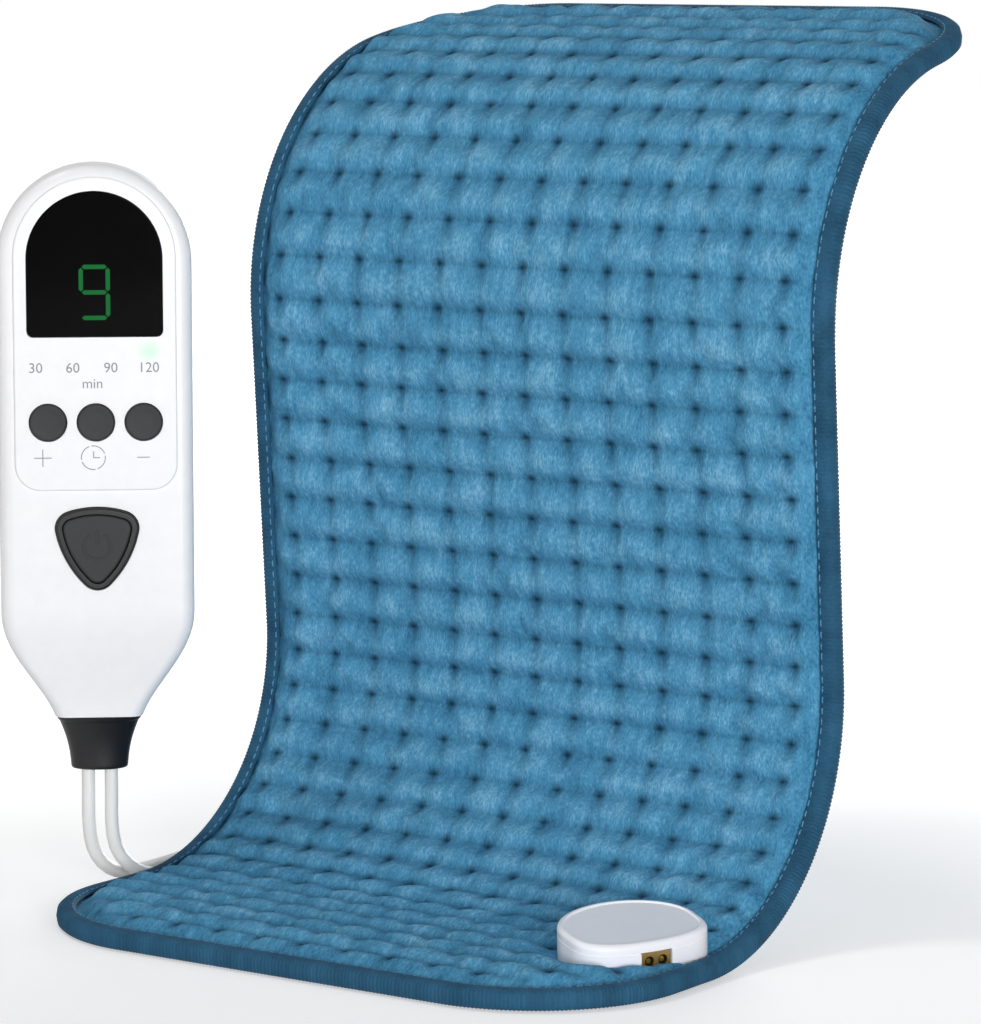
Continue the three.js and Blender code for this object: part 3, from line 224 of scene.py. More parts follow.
# floor, lamps and world: a white studio, in which only camera and mirror rays see pure white
stageSet = {
    "floor": 14.0, "drop": 0.0004, "floorTone": "#e6e6e6", "floorGlow": (0.42, 1.0), "glowFrom": (0.22, 0.7),
    "sky": 0.16, "aim": (0, 0.08, 0.14),
}
bpy.ops.mesh.primitive_plane_add(size=stageSet["floor"], location=(0, 0, -stageSet["drop"]))
floor = bpy.context.object
floor.name = "floor"
floorPaint, tree, shader = newMaterial("matt_floor_paint", {
    "Base Color": hexColor(stageSet["floorTone"]), "Roughness": 0.9, "Emission Color": (1, 1, 1, 1),
})
where = addNode(tree, "TexCoord").outputs["Object"]
away = addNode(tree, "VectorMath", {"operation": "LENGTH"}, {0: where}).outputs["Value"]
near, far = stageSet["glowFrom"]
dim, full = stageSet["floorGlow"]
reach = {"From Min": near, "From Max": far, "To Min": dim, "To Max": full}
white = addNode(tree, "MapRange", reach, {"Value": away})
glow = addNode(tree, "Math", {"operation": "MULTIPLY"}, {0: raysThatSee(tree), 1: white})
wire(tree, shader, {"Emission Strength": glow})
floor.data.materials.append(floorPaint)

world = bpy.data.worlds.new("studio")
bpy.context.scene.world = world
world.use_nodes = True
tree = world.node_tree
tree.nodes.clear()
strength = addNode(tree, "MapRange", {"To Min": stageSet["sky"], "To Max": 1.0}, {"Value": raysThatSee(tree)})
sky = addNode(tree, "Background", {"Color": (1, 1, 1, 1)}, {"Strength": strength})
addNode(tree, "OutputWorld", None, {"Surface": sky})

# each lamp: place, size and power
lampSet = {
    "right_softbox": ((2.0, -1.6, 0.36), 0.9, 50),
    "front_softbox": ((0.1, -2.3, 0.28), 0.9, 9),
    "overhead_softbox": ((-0.62, -0.34, 1.6), 0.42, 6),
    "rear_softbox": ((-0.5, 2.1, 0.45), 0.9, 24),
}
for name, (place, size, power) in lampSet.items():
    aim = Vector(stageSet["aim"]) - Vector(place)
    turn = aim.to_track_quat("-Z", "Y").to_euler()
    bpy.ops.object.light_add(type="AREA", location=place, rotation=turn)
    light = bpy.context.object
    light.name = name
    light.data.size = size
    light.data.energy = power
bpy.context.scene.view_settings.view_transform = "Standard"
print("camera, floor and lamps set")

# cords: the route's points in metres, the coils from their formula
cordSet = {
    "diameter": 0.0048, "step": 0.004, "sides": 5, "floorLevel": 0.0025, "curveSteps": 24,
    "turnPitch": 0.0056, "climb": 0.0054, "climbTurns": 0.5, "stepsPerTurn": 48,
}
mainsLeadSet = {
    "coil": {"centre": (-0.105, 0.205), "radius": 0.045, "turns": 3.25, "start": math.pi, "sense": -1},
    "run": [
        (-0.13606, 0.03303, 0.0427), (-0.13606, 0.03303, 0.034), (-0.13606, 0.03303, 0.024),
        (-0.13606, 0.03463, 0.0152), (-0.13576, 0.03903, 0.0085), (-0.1352, 0.0457, 0.0041),
        (-0.1344, 0.0545, 0.0025), (-0.1355, 0.090, 0.0025), (-0.142, 0.130, 0.0025),
        (-0.149, 0.172, 0.0025), (-0.150, 0.1906, 0.0025), (-0.150, 0.2002, 0.0025),
    ],
    "tail": [
        (-0.150, 0.2098, 0.0079), (-0.150, 0.2194, 0.0079), (-0.146, 0.241, 0.004), (-0.133, 0.262, 0.0025),
        (-0.112, 0.274, 0.004), (-0.0899, 0.277, 0.0085), (-0.0803, 0.277, 0.0085),
    ],
    "tieAngle": 0.9, "farEnd": "plug", "plugParts": ("mains_plug_blade_left", "mains_plug_blade_right"),
}
padLeadSet = {
    "coil": {"centre": (-0.015, 0.205), "radius": 0.034, "turns": 1.25, "start": -math.pi / 2, "sense": 1},
    "run": [
        (-0.12994, 0.03817, 0.0427), (-0.12994, 0.03817, 0.033), (-0.12994, 0.03817, 0.023),
        (-0.12954, 0.03967, 0.0145), (-0.12794, 0.04357, 0.0082), (-0.1256, 0.0494, 0.004),
        (-0.1236, 0.0558, 0.0025), (-0.1227, 0.062, 0.0025), (-0.1227, 0.070, 0.0025),
        (-0.1228, 0.078, 0.0025), (-0.122, 0.100, 0.0025), (-0.116, 0.124, 0.0025),
        (-0.101, 0.143, 0.0025), (-0.080, 0.155, 0.0025), (-0.055, 0.163, 0.0025),
        (-0.0294, 0.171, 0.0025), (-0.0198, 0.171, 0.0025),
    ],
    "tail": [
        (-0.0102, 0.171, 0.0079), (-0.0006, 0.171, 0.0079), (0.0045, 0.171, 0.0078), (0.0139, 0.1691, 0.0073),
        (0.0218, 0.1638, 0.0065), (0.0271, 0.1559, 0.0057), (0.029, 0.1459, 0.005), (0.029, 0.1363, 0.005),
    ],
    "tieAngle": 1.2, "farEnd": "connector", "plugParts": ("pad_plug_sleeve_left", "pad_plug_sleeve_right"),
}
tieSet = {"width": 0.006, "thickness": 0.0005, "slack": 0.0003, "round": 0.0024, "lowest": 0.00005}


# a smooth curve through all the points, cut into even steps
def smoothRoute(points):
    points = [np.array(p, float) for p in points]
    points = [2 * points[0] - points[1], *points, 2 * points[-1] - points[-2]]
    made = []
    for p0, p1, p2, p3 in zip(points, points[1:], points[2:], points[3:]):
        d0, d1, d2 = (np.linalg.norm(b - a) ** 0.5 for a, b in ((p0, p1), (p1, p2), (p2, p3)))
        out = ((p1 - p0) / d0 - (p2 - p0) / (d0 + d1) + (p2 - p1) / d1) * d1
        into = ((p2 - p1) / d1 - (p3 - p1) / (d1 + d2) + (p3 - p2) / d2) * d1
        for t in np.linspace(0, 1, cordSet["curveSteps"], endpoint=False):
            made.append(
                (2 * t**3 - 3 * t**2 + 1) * p1 + (t**3 - 2 * t**2 + t) * out
                + (3 * t**2 - 2 * t**3) * p2 + (t**3 - t**2) * into
            )
    made = np.array([*made, points[-2]])
    along = np.concatenate([[0], np.cumsum(np.linalg.norm(np.diff(made, axis=0), axis=1))])
    marks = np.linspace(0, along[-1], max(int(along[-1] / cordSet["step"]), 2) + 1)
    return np.stack([np.interp(marks, along, made[:, k]) for k in range(3)], 1)


# two layers: it winds in on the floor, climbs where it turns back, and winds out on top
def coilRoute(coil):
    pitch, climb = cordSet["turnPitch"], cordSet["climbTurns"]
    total = 2 * coil["turns"] + climb
    turn = np.linspace(0, total, int(total * cordSet["stepsPerTurn"]) + 1)
    past = turn - coil["turns"]
    rise = np.clip(past / climb, 0, 1)
    dip = np.clip(climb / 2 - np.abs(past - climb / 2), 0, None)
    wound = np.where(past < 0, -past, np.clip(past - climb, 0, None))
    radius = coil["radius"] - pitch * coil["turns"] + pitch * (wound - dip)
    angle = coil["start"] + coil["sense"] * 2 * np.pi * turn
    lift = cordSet["climb"] * (rise - np.sin(2 * np.pi * rise) / (2 * np.pi))
    return np.stack([
        coil["centre"][0] + radius * np.cos(angle),
        coil["centre"][1] + radius * np.sin(angle),
        cordSet["floorLevel"] + lift,
    ], 1)


def addCord(name, route, material):
    choose()
    bpy.ops.curve.primitive_nurbs_path_add(radius=1, location=(0, 0, 0))
    lead = bpy.context.object
    lead.data.splines.clear()
    spline = lead.data.splines.new("POLY")
    spline.points.add(len(route) - 1)
    for point, place in zip(spline.points, route):
        point.co = (*place, 1)
    lead.data.dimensions = "3D"
    lead.data.bevel_depth = cordSet["diameter"] / 2
    lead.data.bevel_resolution = cordSet["sides"]
    lead.data.use_fill_caps = True
    replaced = [name + end for end in ("_run", "_coil", "_tail")]
    return dress(lead, name, rootBody, material, replaced)


# a strap round all the turns of a coil, at one place of it
def addTie(name, lead, material):
    coil, corner, across = lead["coil"], tieSet["round"], tieSet["width"] / 2
    half = cordSet["diameter"] / 2 + tieSet["slack"]
    inner = coil["radius"] - cordSet["turnPitch"] * (coil["turns"] + cordSet["climbTurns"] / 2) - half
    low = np.array([inner, tieSet["lowest"]])
    high = np.array([coil["radius"] + half, cordSet["floorLevel"] + cordSet["climb"] + half])
    middle, reach = (low + high) / 2, (high - low) / 2 - corner
    loop = np.concatenate([
        arc(middle + reach * side, corner, k * math.pi / 2, (k + 1) * math.pi / 2, 7)
        for k, side in enumerate(((1, 1), (-1, 1), (-1, -1), (1, -1)))
    ])
    out = loop + tieSet["thickness"] * (loop - middle) / np.linalg.norm(loop - middle, axis=1)[:, None]
    out[:, 1] = np.maximum(out[:, 1], 0)
    rings = []
    for side, section in ((-across, loop), (-across, out), (across, out), (across, loop), (-across, loop)):
        rings.append([(r, side, z) for r, z in section])
    turned = Matrix.Translation((*coil["centre"], 0)) @ Matrix.Rotation(lead["tieAngle"], 4, "Z")
    tie = rolledGrid(name, rings, turned)
    smoothPiece(tie)
    return dress(tie, name, rootBody, material)


# cord jacket: soft PVC, extruded, with a satin skin that takes up dust and small scuffs
cordVinyl = grainedMaterial(
    "extruded_pvc_jacket", ("#f1f1ef", "#e6e6e3"), (0.36, 0.5), 0.0012, 0.08, {"IOR": 1.53},
)
# tie: black polyethylene strap, calendered, with a dull sheen
tiePlastic = grainedMaterial("black_polythene_strap", ("#202122", "#2b2c2e"), (0.45, 0.6), 0.0009, 0.1)
for name, lead in (("mains_lead", mainsLeadSet), ("pad_lead", padLeadSet)):
    route = np.concatenate([smoothRoute(lead["run"]), coilRoute(lead["coil"]), smoothRoute(lead["tail"])])
    length = float(np.linalg.norm(np.diff(route, axis=0), axis=1).sum())
    lead["piece"] = addCord(name, route, cordVinyl)
    lead["tie"] = addTie(name + "_tie", lead, tiePlastic)
    lead["length"] = round(length, 2)
    print(name, "is", round(length, 3), "m long")

# pad: the S curve of its underside, and the levels of its layers above that
padSet = {
    "width": 0.240, "corner": 0.055, "flat": 0.077, "riseRadius": 0.081, "lean": math.radians(94),
    "upright": 0.112, "fallRadius": 0.086, "endAngle": math.radians(13), "end": 0.056,
}
lean, endAngle = padSet["lean"], padSet["endAngle"]
bends = np.cumsum([
    0, padSet["flat"], padSet["riseRadius"] * lean, padSet["upright"],
    padSet["fallRadius"] * (lean - endAngle), padSet["end"],
])
padWidth, padLength = padSet["width"], bends[-1]
curveS = np.linspace(-0.02, padLength + 0.02, 9001)
curveAngle = np.interp(curveS, bends, [0, 0, lean, lean, endAngle, endAngle])
stepS = curveS[1] - curveS[0]
midAngle = (curveAngle[1:] + curveAngle[:-1]) / 2
curveY = np.concatenate([[0], np.cumsum(np.cos(midAngle) * stepS)])
curveZ = np.concatenate([[0], np.cumsum(np.sin(midAngle) * stepS)])
curveY += -padSet["flat"] / 2 - np.interp(0, curveS, curveY)
curveZ -= np.interp(0, curveS, curveZ)


# a place on the pad: across, along from the front edge, and level above the underside
def onPad(across, along, level):
    angle = np.interp(along, curveS, curveAngle)
    return np.stack([
        np.broadcast_to(across, np.shape(angle)).astype(float),
        np.interp(along, curveS, curveY) - level * np.sin(angle),
        np.interp(along, curveS, curveZ) + level * np.cos(angle),
    ], -1)


# the way back: across, along and level of points near the pad, a batch at a time
def padCoords(points, batch=4000):
    cy, cz, cs, ca = (values[::6] for values in (curveY, curveZ, curveS, curveAngle))
    along, level = np.empty(len(points)), np.empty(len(points))
    for k in range(0, len(points), batch):
        y, z = points[k:k + batch, 1], points[k:k + batch, 2]
        best = ((y[:, None] - cy) ** 2 + (z[:, None] - cz) ** 2).argmin(1)
        dy, dz = y - cy[best], z - cz[best]
        along[k:k + batch] = cs[best] + dy * np.cos(ca[best]) + dz * np.sin(ca[best])
        level[k:k + batch] = -dy * np.sin(ca[best]) + dz * np.cos(ca[best])
    return points[:, 0], along, level


# distance inwards from the pad's outline
def edgeInset(across, along):
    corner = padSet["corner"]
    dx = np.abs(across) - (padWidth / 2 - corner)
    ds = np.abs(along - padLength / 2) - (padLength / 2 - corner)
    outside = np.hypot(np.maximum(dx, 0), np.maximum(ds, 0))
    return corner - outside - np.minimum(np.maximum(dx, ds), 0)


# the outline as a walk: places and inward directions at even steps, so many in each pitch
def outlineWalk(pitch, stepsPerPitch=1):
    corner, quarter = padSet["corner"], math.pi / 2
    reach = np.array([padWidth / 2 - corner, padLength / 2 - corner])
    marks = np.cumsum([0, *[2 * reach[1], corner * quarter, 2 * reach[0], corner * quarter] * 2])
    count = int(marks[-1] / pitch) * stepsPerPitch
    centres = np.array([(1, 1), (-1, 1), (-1, -1), (1, -1)]) * reach
    places, inward = np.empty((count, 2)), np.empty((count, 2))
    for i, walked in enumerate(np.arange(count) * marks[-1] / count):
        part = int(np.searchsorted(marks, walked, side="right") - 1)
        share = (walked - marks[part]) / (marks[part + 1] - marks[part])
        side, bent = divmod(part, 2)
        angle = side * quarter + (share * quarter if bent else 0)
        out = np.array([math.cos(angle), math.sin(angle)])
        before = centres[side - 1]
        centre = centres[side] if bent else before + (centres[side] - before) * share
        places[i] = centre + corner * out + (0, padLength / 2)
        inward[i] = -out
    return places, inward


# UV in metres, across and along the pad, so that nap and threads follow the cloth
def padUv(piece):
    points = np.empty(len(piece.data.vertices) * 3)
    piece.data.vertices.foreach_get("co", points)
    across, along, level = padCoords(points.reshape(-1, 3))
    corners = np.empty(len(piece.data.loops), int)
    piece.data.loops.foreach_get("vertex_index", corners)
    layer = piece.data.uv_layers.new(name="cloth")
    layer.data.foreach_set("uv", np.stack([across[corners], along[corners]], 1).reshape(-1))
    return across, along, level


# socket on the pad, in mm from its own centre: the cover leaves room for it
socketSet = {
    "turn": math.radians(-25), "tilt": math.radians(2), "place": (0.0925, 0.030, 0.0007),
    "depth": 34, "breadth": 50, "flatness": 0.5, "shellBottom": 4.5, "front": 9, "rear": 15.5,
    "wall": 2, "round": 1.6, "lip": 0.45, "lipWidth": 1.5, "lipSlope": 0.3, "points": 72, "fit": 0.3,
    "groove": 2.6, "grooveShape": ((0, 0.5), (0.3, 0.35), (0.3, 0.15), (0, 0)), "well": (2.0, 30),
    "insert": (9, 11, 6), "insertLevel": 7.8, "insertFront": 16.2, "mouth": 9, "edge": 0.35,
    "pitch": 5, "hole": 3.4, "holeDepth": 7, "cut": 12,
}
socketPlace = (
    Matrix.Translation(socketSet["place"]) @ Matrix.Rotation(socketSet["tilt"], 4, "X")
    @ Matrix.Rotation(socketSet["turn"], 4, "Z") @ Matrix.Scale(0.001, 4)
)


# the socket's footprint in mm: an oval whose front half is drawn out to a flat mouth
def socketOutline(grow):
    angle = np.linspace(0, 2 * np.pi, socketSet["points"], endpoint=False)
    share, side = np.cos(angle), np.sin(angle)
    share = np.where(share > 0, np.abs(share) ** socketSet["flatness"], share)
    return (socketSet["depth"] / 2 + grow) * share, (socketSet["breadth"] / 2 + grow) * side


def socketRing(grow, heightAt):
    return [(x, y, heightAt(x)) for x, y in zip(*socketOutline(grow))]


# how far a place on the pad lies outside the socket's footprint
def socketDistance(across, along):
    centre = np.array(socketSet["place"][:2]) + (0, padSet["flat"] / 2)
    cosine, sine = math.cos(socketSet["turn"]), math.sin(socketSet["turn"])
    dx, dy = across - centre[0], along - centre[1]
    x, y = dx * cosine + dy * sine, dy * cosine - dx * sine
    edgeX, edgeY = (values * 0.001 for values in socketOutline(0))
    away = np.min(np.hypot(x[:, None] - edgeX, y[:, None] - edgeY), 1)
    share = x * 2000 / socketSet["depth"]
    share = np.where(x > 0, share ** 2, share)
    inside = np.abs(y) < socketSet["breadth"] / 2000 * np.sqrt(np.clip(1 - share**2, 0, None))
    return np.where(inside, 0, away)


# quilted cover: plush over batting, drawn down at tufts, swelled by a cloth simulation
coverSet = {
    "cellsAcross": 12, "cellsAlong": 33, "margin": 0.016, "stepsPerCell": 6, "wobble": 0.0012, "seed": 7,
    "rim": 0.0016, "hem": 0.0074, "hemEase": 0.006, "field": 0.0095, "tuftField": 0.8,
    "rimLevel": 0.0046, "backRimLevel": 0.0016, "tuftLevel": 0.0052, "tuftSpread": 0.0014, "rowLevel": 0.0076,
    "foldLevel": (0.0066, 0.0082), "startLevel": 0.0088, "lowest": 0.0067, "topLevel": 0.0132,
    "swell": 0.0042, "gain": 1.9, "ridge": 0.7, "backTuft": 0.0009,
    "socketLevel": 0.0070, "socketSlope": 0.45,
    "simScale": 20, "frames": 22, "lift": 9.81, "rowHold": 0.86, "foldHold": (0.88, 0.55),
    "cloth": {
        "quality": 6, "mass": 0.4, "tension_stiffness": 12, "compression_stiffness": 12, "shear_stiffness": 6,
        "bending_stiffness": 0.5, "shrink_min": -0.05, "vertex_group_mass": "pins", "pin_stiffness": 1.0,
    },
}
margin, steps, hem = coverSet["margin"], coverSet["stepsPerCell"], coverSet["hem"]
cellsU, cellsS = coverSet["cellsAcross"], coverSet["cellsAlong"]
fieldU, fieldS = padWidth - 2 * margin, padLength - 2 * margin


def marginLines(length, cells):
    border = np.linspace(0, margin, steps + 1)[:-1]
    inner = np.linspace(margin, length - margin, cells * steps + 1)
    return np.concatenate([border, inner, length - border[::-1]])


gridU, gridS = np.meshgrid(marginLines(padWidth, cellsU) - padWidth / 2, marginLines(padLength, cellsS))
insets = edgeInset(gridU, gridS)
used = insets >= coverSet["rim"]
cells = used[:-1, :-1] & used[1:, :-1] & used[:-1, 1:] & used[1:, 1:]
kept = np.zeros_like(used)
for down, over in ((0, 0), (0, 1), (1, 0), (1, 1)):
    kept[down:down + cells.shape[0], over:over + cells.shape[1]] |= cells
index = np.full(used.shape, -1)
index[kept] = np.arange(kept.sum())
row, column = np.nonzero(cells)
quads = np.stack([index[row + down, column + over] for down, over in ((0, 0), (0, 1), (1, 1), (1, 0))], 1)
acrossAt, alongAt, insetAt = gridU[kept], gridS[kept], insets[kept]
rowIndex, columnIndex = np.nonzero(kept)
onTuftRow = (rowIndex % steps == 0) & (insetAt > hem)
onTuft = onTuftRow & (columnIndex % steps == 0) & (insetAt > margin * coverSet["tuftField"])
waveU = np.abs(np.sin(math.pi * ((acrossAt + padWidth / 2 - margin) / fieldU) * cellsU))
waveS = np.abs(np.sin(math.pi * ((alongAt - margin) / fieldS) * cellsS))
ease = smoothStep((insetAt - hem) / coverSet["hemEase"])
floorLevel = np.where(insetAt > coverSet["field"], coverSet["lowest"], 0)
wander = np.random.default_rng(coverSet["seed"])
rowShift = wander.uniform(-coverSet["wobble"], coverSet["wobble"], cellsS + 3)
rowPlace = margin + (np.arange(len(rowShift)) - 1) * fieldS / cellsS
tuftDepth = coverSet["tuftLevel"] + wander.uniform(0, coverSet["tuftSpread"], len(acrossAt))


def swelledCover():
    rowLevel, rimLevel, scale = coverSet["rowLevel"], coverSet["rimLevel"], coverSet["simScale"]
    start = rowLevel + (coverSet["startLevel"] - rowLevel) * waveS
    folds = []
    for below, level in enumerate(coverSet["foldLevel"], 1):
        fold = index[np.maximum(rowIndex[onTuft] - below, 0), columnIndex[onTuft]]
        folds.append(fold[fold >= 0])
        start[folds[-1]] = level
    start = np.where(onTuft, tuftDepth, start)
    start = rimLevel + (start - rimLevel) * ease
    cloth = meshPiece("cover_cloth", np.stack([acrossAt, alongAt, start], 1) * scale, quads.tolist())
    pins = cloth.vertex_groups.new(name="pins")
    pins.add(np.nonzero(onTuftRow & ~onTuft)[0].tolist(), coverSet["rowHold"], "REPLACE")
    for fold, hold in zip(folds, coverSet["foldHold"]):
        pins.add(fold.tolist(), hold, "REPLACE")
    pins.add(np.nonzero(onTuft | (insetAt <= hem))[0].tolist(), 1.0, "REPLACE")
    modifier = cloth.modifiers.new("cloth", "CLOTH")
    for name, value in coverSet["cloth"].items():
        setattr(modifier.settings, name, value)
    modifier.collision_settings.use_collision = False
    scene = bpy.context.scene
    gravity = tuple(scene.gravity)
    scene.gravity = (0, 0, coverSet["lift"])
    for number in range(1, coverSet["frames"] + 1):
        scene.frame_set(number)
    made = cloth.evaluated_get(bpy.context.evaluated_depsgraph_get()).to_mesh()
    points = np.empty(len(made.vertices) * 3)
    made.vertices.foreach_get("co", points)
    points = points.reshape(-1, 3) / scale
    scene.gravity = gravity
    scene.frame_set(1)
    bpy.data.objects.remove(cloth)
    proud = np.maximum(points[:, 2] - np.maximum(rowLevel, start), 0)
    raised = points[:, 2] + (coverSet["gain"] - 1) * proud * ease
    print("cover swelled to", round(raised.max() * 1000, 2), "mm")
    return points[:, 0], points[:, 1], np.clip(raised, np.where(onTuft, 0, floorLevel), coverSet["topLevel"])


across, along, level = swelledCover()
# each row swells as one ridge: the valleys between its tufts' columns are partly filled
spread = np.array([0.5, *[1] * (steps - 1), 0.5]) / steps
field = np.zeros(kept.shape)
field[kept] = level
total, share = (
    np.apply_along_axis(np.convolve, 1, values, spread, "same")[kept]
    for values in (field, kept.astype(float))
)
level = level + coverSet["ridge"] * waveS ** 2 * ease * np.maximum(total / share - level, 0)
room = coverSet["socketLevel"] + coverSet["socketSlope"] * socketDistance(across, along)
level = np.minimum(level, np.maximum(room, floorLevel))
across = across + np.interp(along, rowPlace, rowShift) * ease
backLevel = coverSet["backTuft"] * (1 - waveU) ** 2 * (1 - waveS) ** 2
backLevel = backLevel + (coverSet["backRimLevel"] - backLevel) * (1 - ease)
count = len(level)
edges = np.concatenate([quads[:, [k, (k + 1) % 4]] for k in range(4)]).tolist()
forward = set(map(tuple, edges))
start, end = np.array([edge for edge in edges if (edge[1], edge[0]) not in forward]).T
sheets = [onPad(across, along, level), onPad(acrossAt, alongAt, backLevel)]
faces = [quads, quads[:, ::-1] + count, np.stack([end, start, start + count, end + count], 1)]
cover = meshPiece("pad_cover", np.concatenate(sheets), np.concatenate(faces).tolist())
applyModifier(cover, "SUBSURF", {"levels": 1, "render_levels": 1})
wellFloor, wellHeight = socketSet["well"]
wellRing = socketRing(socketSet["fit"], lambda x: wellFloor)
carve(cover, prism("socket_well", wellRing, (0, 0, wellHeight), socketPlace))

# painted shade and light on the nap: painted shade in the tufts' pits, the folds under them and the creases
# along the rows, and a painted highlight on the raised puffs
shadeSet = {
    "inset": 0.009, "fade": 0.004, "frontLevel": 0.0045, "pit": (0.0021, 0.0019), "crease": 0.0011,
    "fold": 0.0014, "foldSpread": 0.5, "foldFade": 0.0045, "foldShare": 0.8, "puff": (0.0075, 0.005),
}
across, along, level = padUv(cover)
pitchU, pitchS = fieldU / cellsU, fieldS / cellsS
inField = np.clip((edgeInset(across, along) - shadeSet["inset"]) / shadeSet["fade"], 0, 1)
inField = inField * (level > shadeSet["frontLevel"])
tuftU = (across - np.interp(along, rowPlace, rowShift) + padWidth / 2 - margin) / pitchU
tuftS = (along - margin) / pitchS
offU, offS = (tuftU - np.round(tuftU)) * pitchU, (tuftS - np.round(tuftS)) * pitchS
under = (np.ceil(tuftS) - tuftS) * pitchS
pitShape = np.exp(-(offU / shadeSet["pit"][0]) ** 2 - (offS / shadeSet["pit"][1]) ** 2)
foldWidth = shadeSet["fold"] + shadeSet["foldSpread"] * under
foldShape = np.exp(-(offU / foldWidth) ** 2 - under / shadeSet["foldFade"])
for name, values in (
    ("pit", np.maximum(pitShape, shadeSet["foldShare"] * foldShape)),
    ("crease", np.exp(-(offS / shadeSet["crease"]) ** 2)),
    ("puff", (level - shadeSet["puff"][0]) / shadeSet["puff"][1]),
):
    layer = cover.data.attributes.new(name, "FLOAT", "POINT")
    layer.data.foreach_set("value", np.clip(values * inField, 0, 1).astype(np.float32))
smoothPiece(cover, 70)

# plush: knitted polyester microfibre, raised and sheared, so its nap is flecked and shimmers at a slant
plush, tree, shader = newMaterial("polyester_microplush", {
    "Roughness": 0.85, "Specular IOR Level": 0.12, "Sheen Weight": 0.06, "Sheen Roughness": 0.45,
    "Sheen Tint": hexColor("#b7d6e6"),
})
# each layer of the nap: size across and along in metres, and weight; fibres are drawn coarser, to show
napSet = [(0.0006, 0.0016, 0.50), (0.0022, 0.0075, 0.34), (0.016, 0.022, 0.34)]
cloth = addNode(tree, "UVMap", {"uv_map": "cloth"})
pit, crease, puff = (
    addNode(tree, "Attribute", {"attribute_name": name}).outputs["Fac"] for name in ("pit", "crease", "puff")
)
flecks = []
# painted highlight: the nap starts lighter where the cover swells highest
total = addNode(tree, "Math", {"operation": "MULTIPLY", 1: 0.16}, {0: puff})
for wide, tall, weight in napSet:
    spread = addNode(tree, "Mapping", {"Scale": (1 / wide, 1 / tall, 1)}, {"Vector": cloth})
    fleck = {"Scale": 1.0, "Detail": 2, "Roughness": 0.6}
    flecks.append(addNode(tree, "TexNoise", fleck, {"Vector": spread}))
    total = addNode(tree, "Math", {"operation": "MULTIPLY_ADD", 1: weight}, {0: flecks[-1], 2: total})
tone = addNode(tree, "ValToRGB", None, {"Fac": total})
stops = tone.color_ramp.elements
stops.new(0.68)
for stop, place, color in zip(stops, (0.44, 0.68, 0.94), ("#2b6b91", "#5297bd", "#94c9e6")):
    stop.position = place
    stop.color = hexColor(color)
# painted shade: the pits, the folds under the tufts and the creases darken the nap toward a deep blue
deep = addNode(tree, "Math", {"operation": "MULTIPLY", 1: 0.22}, {0: crease})
deep = addNode(tree, "Math", {"operation": "MULTIPLY_ADD", 1: 0.85, "use_clamp": True}, {0: pit, 2: deep})
shade = addNode(tree, "Mix", {"data_type": "RGBA", 7: hexColor("#0b3148")}, {0: deep, 6: tone})
relief = addNode(tree, "Math", {"operation": "MULTIPLY_ADD", 1: 0.8}, {0: flecks[1], 2: flecks[0]})
bump = addNode(tree, "Bump", {"Strength": 0.6, "Distance": 0.0006}, {"Height": relief})
wire(tree, shader, {"Base Color": shade.outputs[2], "Normal": bump})
dress(cover, "pad_cover", rootBody, plush, ["front_cover", "back_cover"])
print("cover has", len(cover.data.polygons), "faces after the socket's well is cut")

# edge binding: woven tape folded over the rim, closed by an overlocked seam of fine ribs, section in mm
bindingSet = {
    "pitch": 0.0014, "stepsPerRib": 4, "rib": 0.00016, "middle": (3.6, 3.4), "ribbed": range(1, 9),
    "thread": 0.0009,  # coarser than the real weave, to show
    "section": [
        (6.5, 6.2), (5.6, 6.7), (3.6, 6.9), (1.7, 6.6), (0.45, 5.5), (0.1, 3.4), (0.45, 1.25), (1.7, 0.2),
        (3.6, 0.05), (6.5, 0.2), (6.5, 1.1), (2.2, 1.3), (1.3, 3.3), (2.2, 5.3), (6.5, 5.5),
    ],
}
places, inward = outlineWalk(bindingSet["pitch"], bindingSet["stepsPerRib"])
swell = bindingSet["rib"] * np.cos(2 * np.pi * np.arange(len(places)) / bindingSet["stepsPerRib"])
rings = []
for k, (inset, height) in enumerate([*bindingSet["section"], bindingSet["section"][0]]):
    out = np.array([inset, height]) - bindingSet["middle"]
    out = out / np.linalg.norm(out) * (k in bindingSet["ribbed"])
    spot = places + inward * (inset * 0.001 + out[0] * swell)[:, None]
    rings.append(onPad(spot[:, 0], spot[:, 1], height * 0.001 + out[1] * swell))
binding = rolledGrid("edge_binding_tape", rings)
smoothPiece(binding, 80)
padUv(binding)
# tape: dense plain-woven polyester, flat and a little shiny, with ribs of locked thread across it
tape, tree, shader = newMaterial("woven_polyester_tape", {
    "Roughness": 0.75, "Specular IOR Level": 0.2, "Sheen Weight": 0.06, "Sheen Roughness": 0.4,
})
cloth = addNode(tree, "UVMap", {"uv_map": "cloth"})
scale = 1 / bindingSet["thread"]
threads = addNode(tree, "Mapping", {"Scale": (scale, scale, 1)}, {"Vector": cloth})
weave = addNode(tree, "TexNoise", {"Scale": 1.0, "Detail": 3}, {"Vector": threads})
worn = addNode(tree, "TexNoise", {"Scale": 90.0, "Detail": 3}, {"Vector": cloth})
mixed = addNode(tree, "Math", {"operation": "MULTIPLY_ADD", 1: 0.5}, {0: weave, 2: worn})
tone = addNode(tree, "ValToRGB", None, {"Fac": mixed})
for stop, place, color in zip(tone.color_ramp.elements, (0.45, 0.95), ("#15405a", "#2a5d7c")):
    stop.position = place
    stop.color = hexColor(color)
bump = addNode(tree, "Bump", {"Strength": 0.35, "Distance": 0.0003}, {"Height": weave})
wire(tree, shader, {"Base Color": tone, "Normal": bump})
dress(binding, "edge_binding_tape", rootBody, tape, ["edge_binding"])

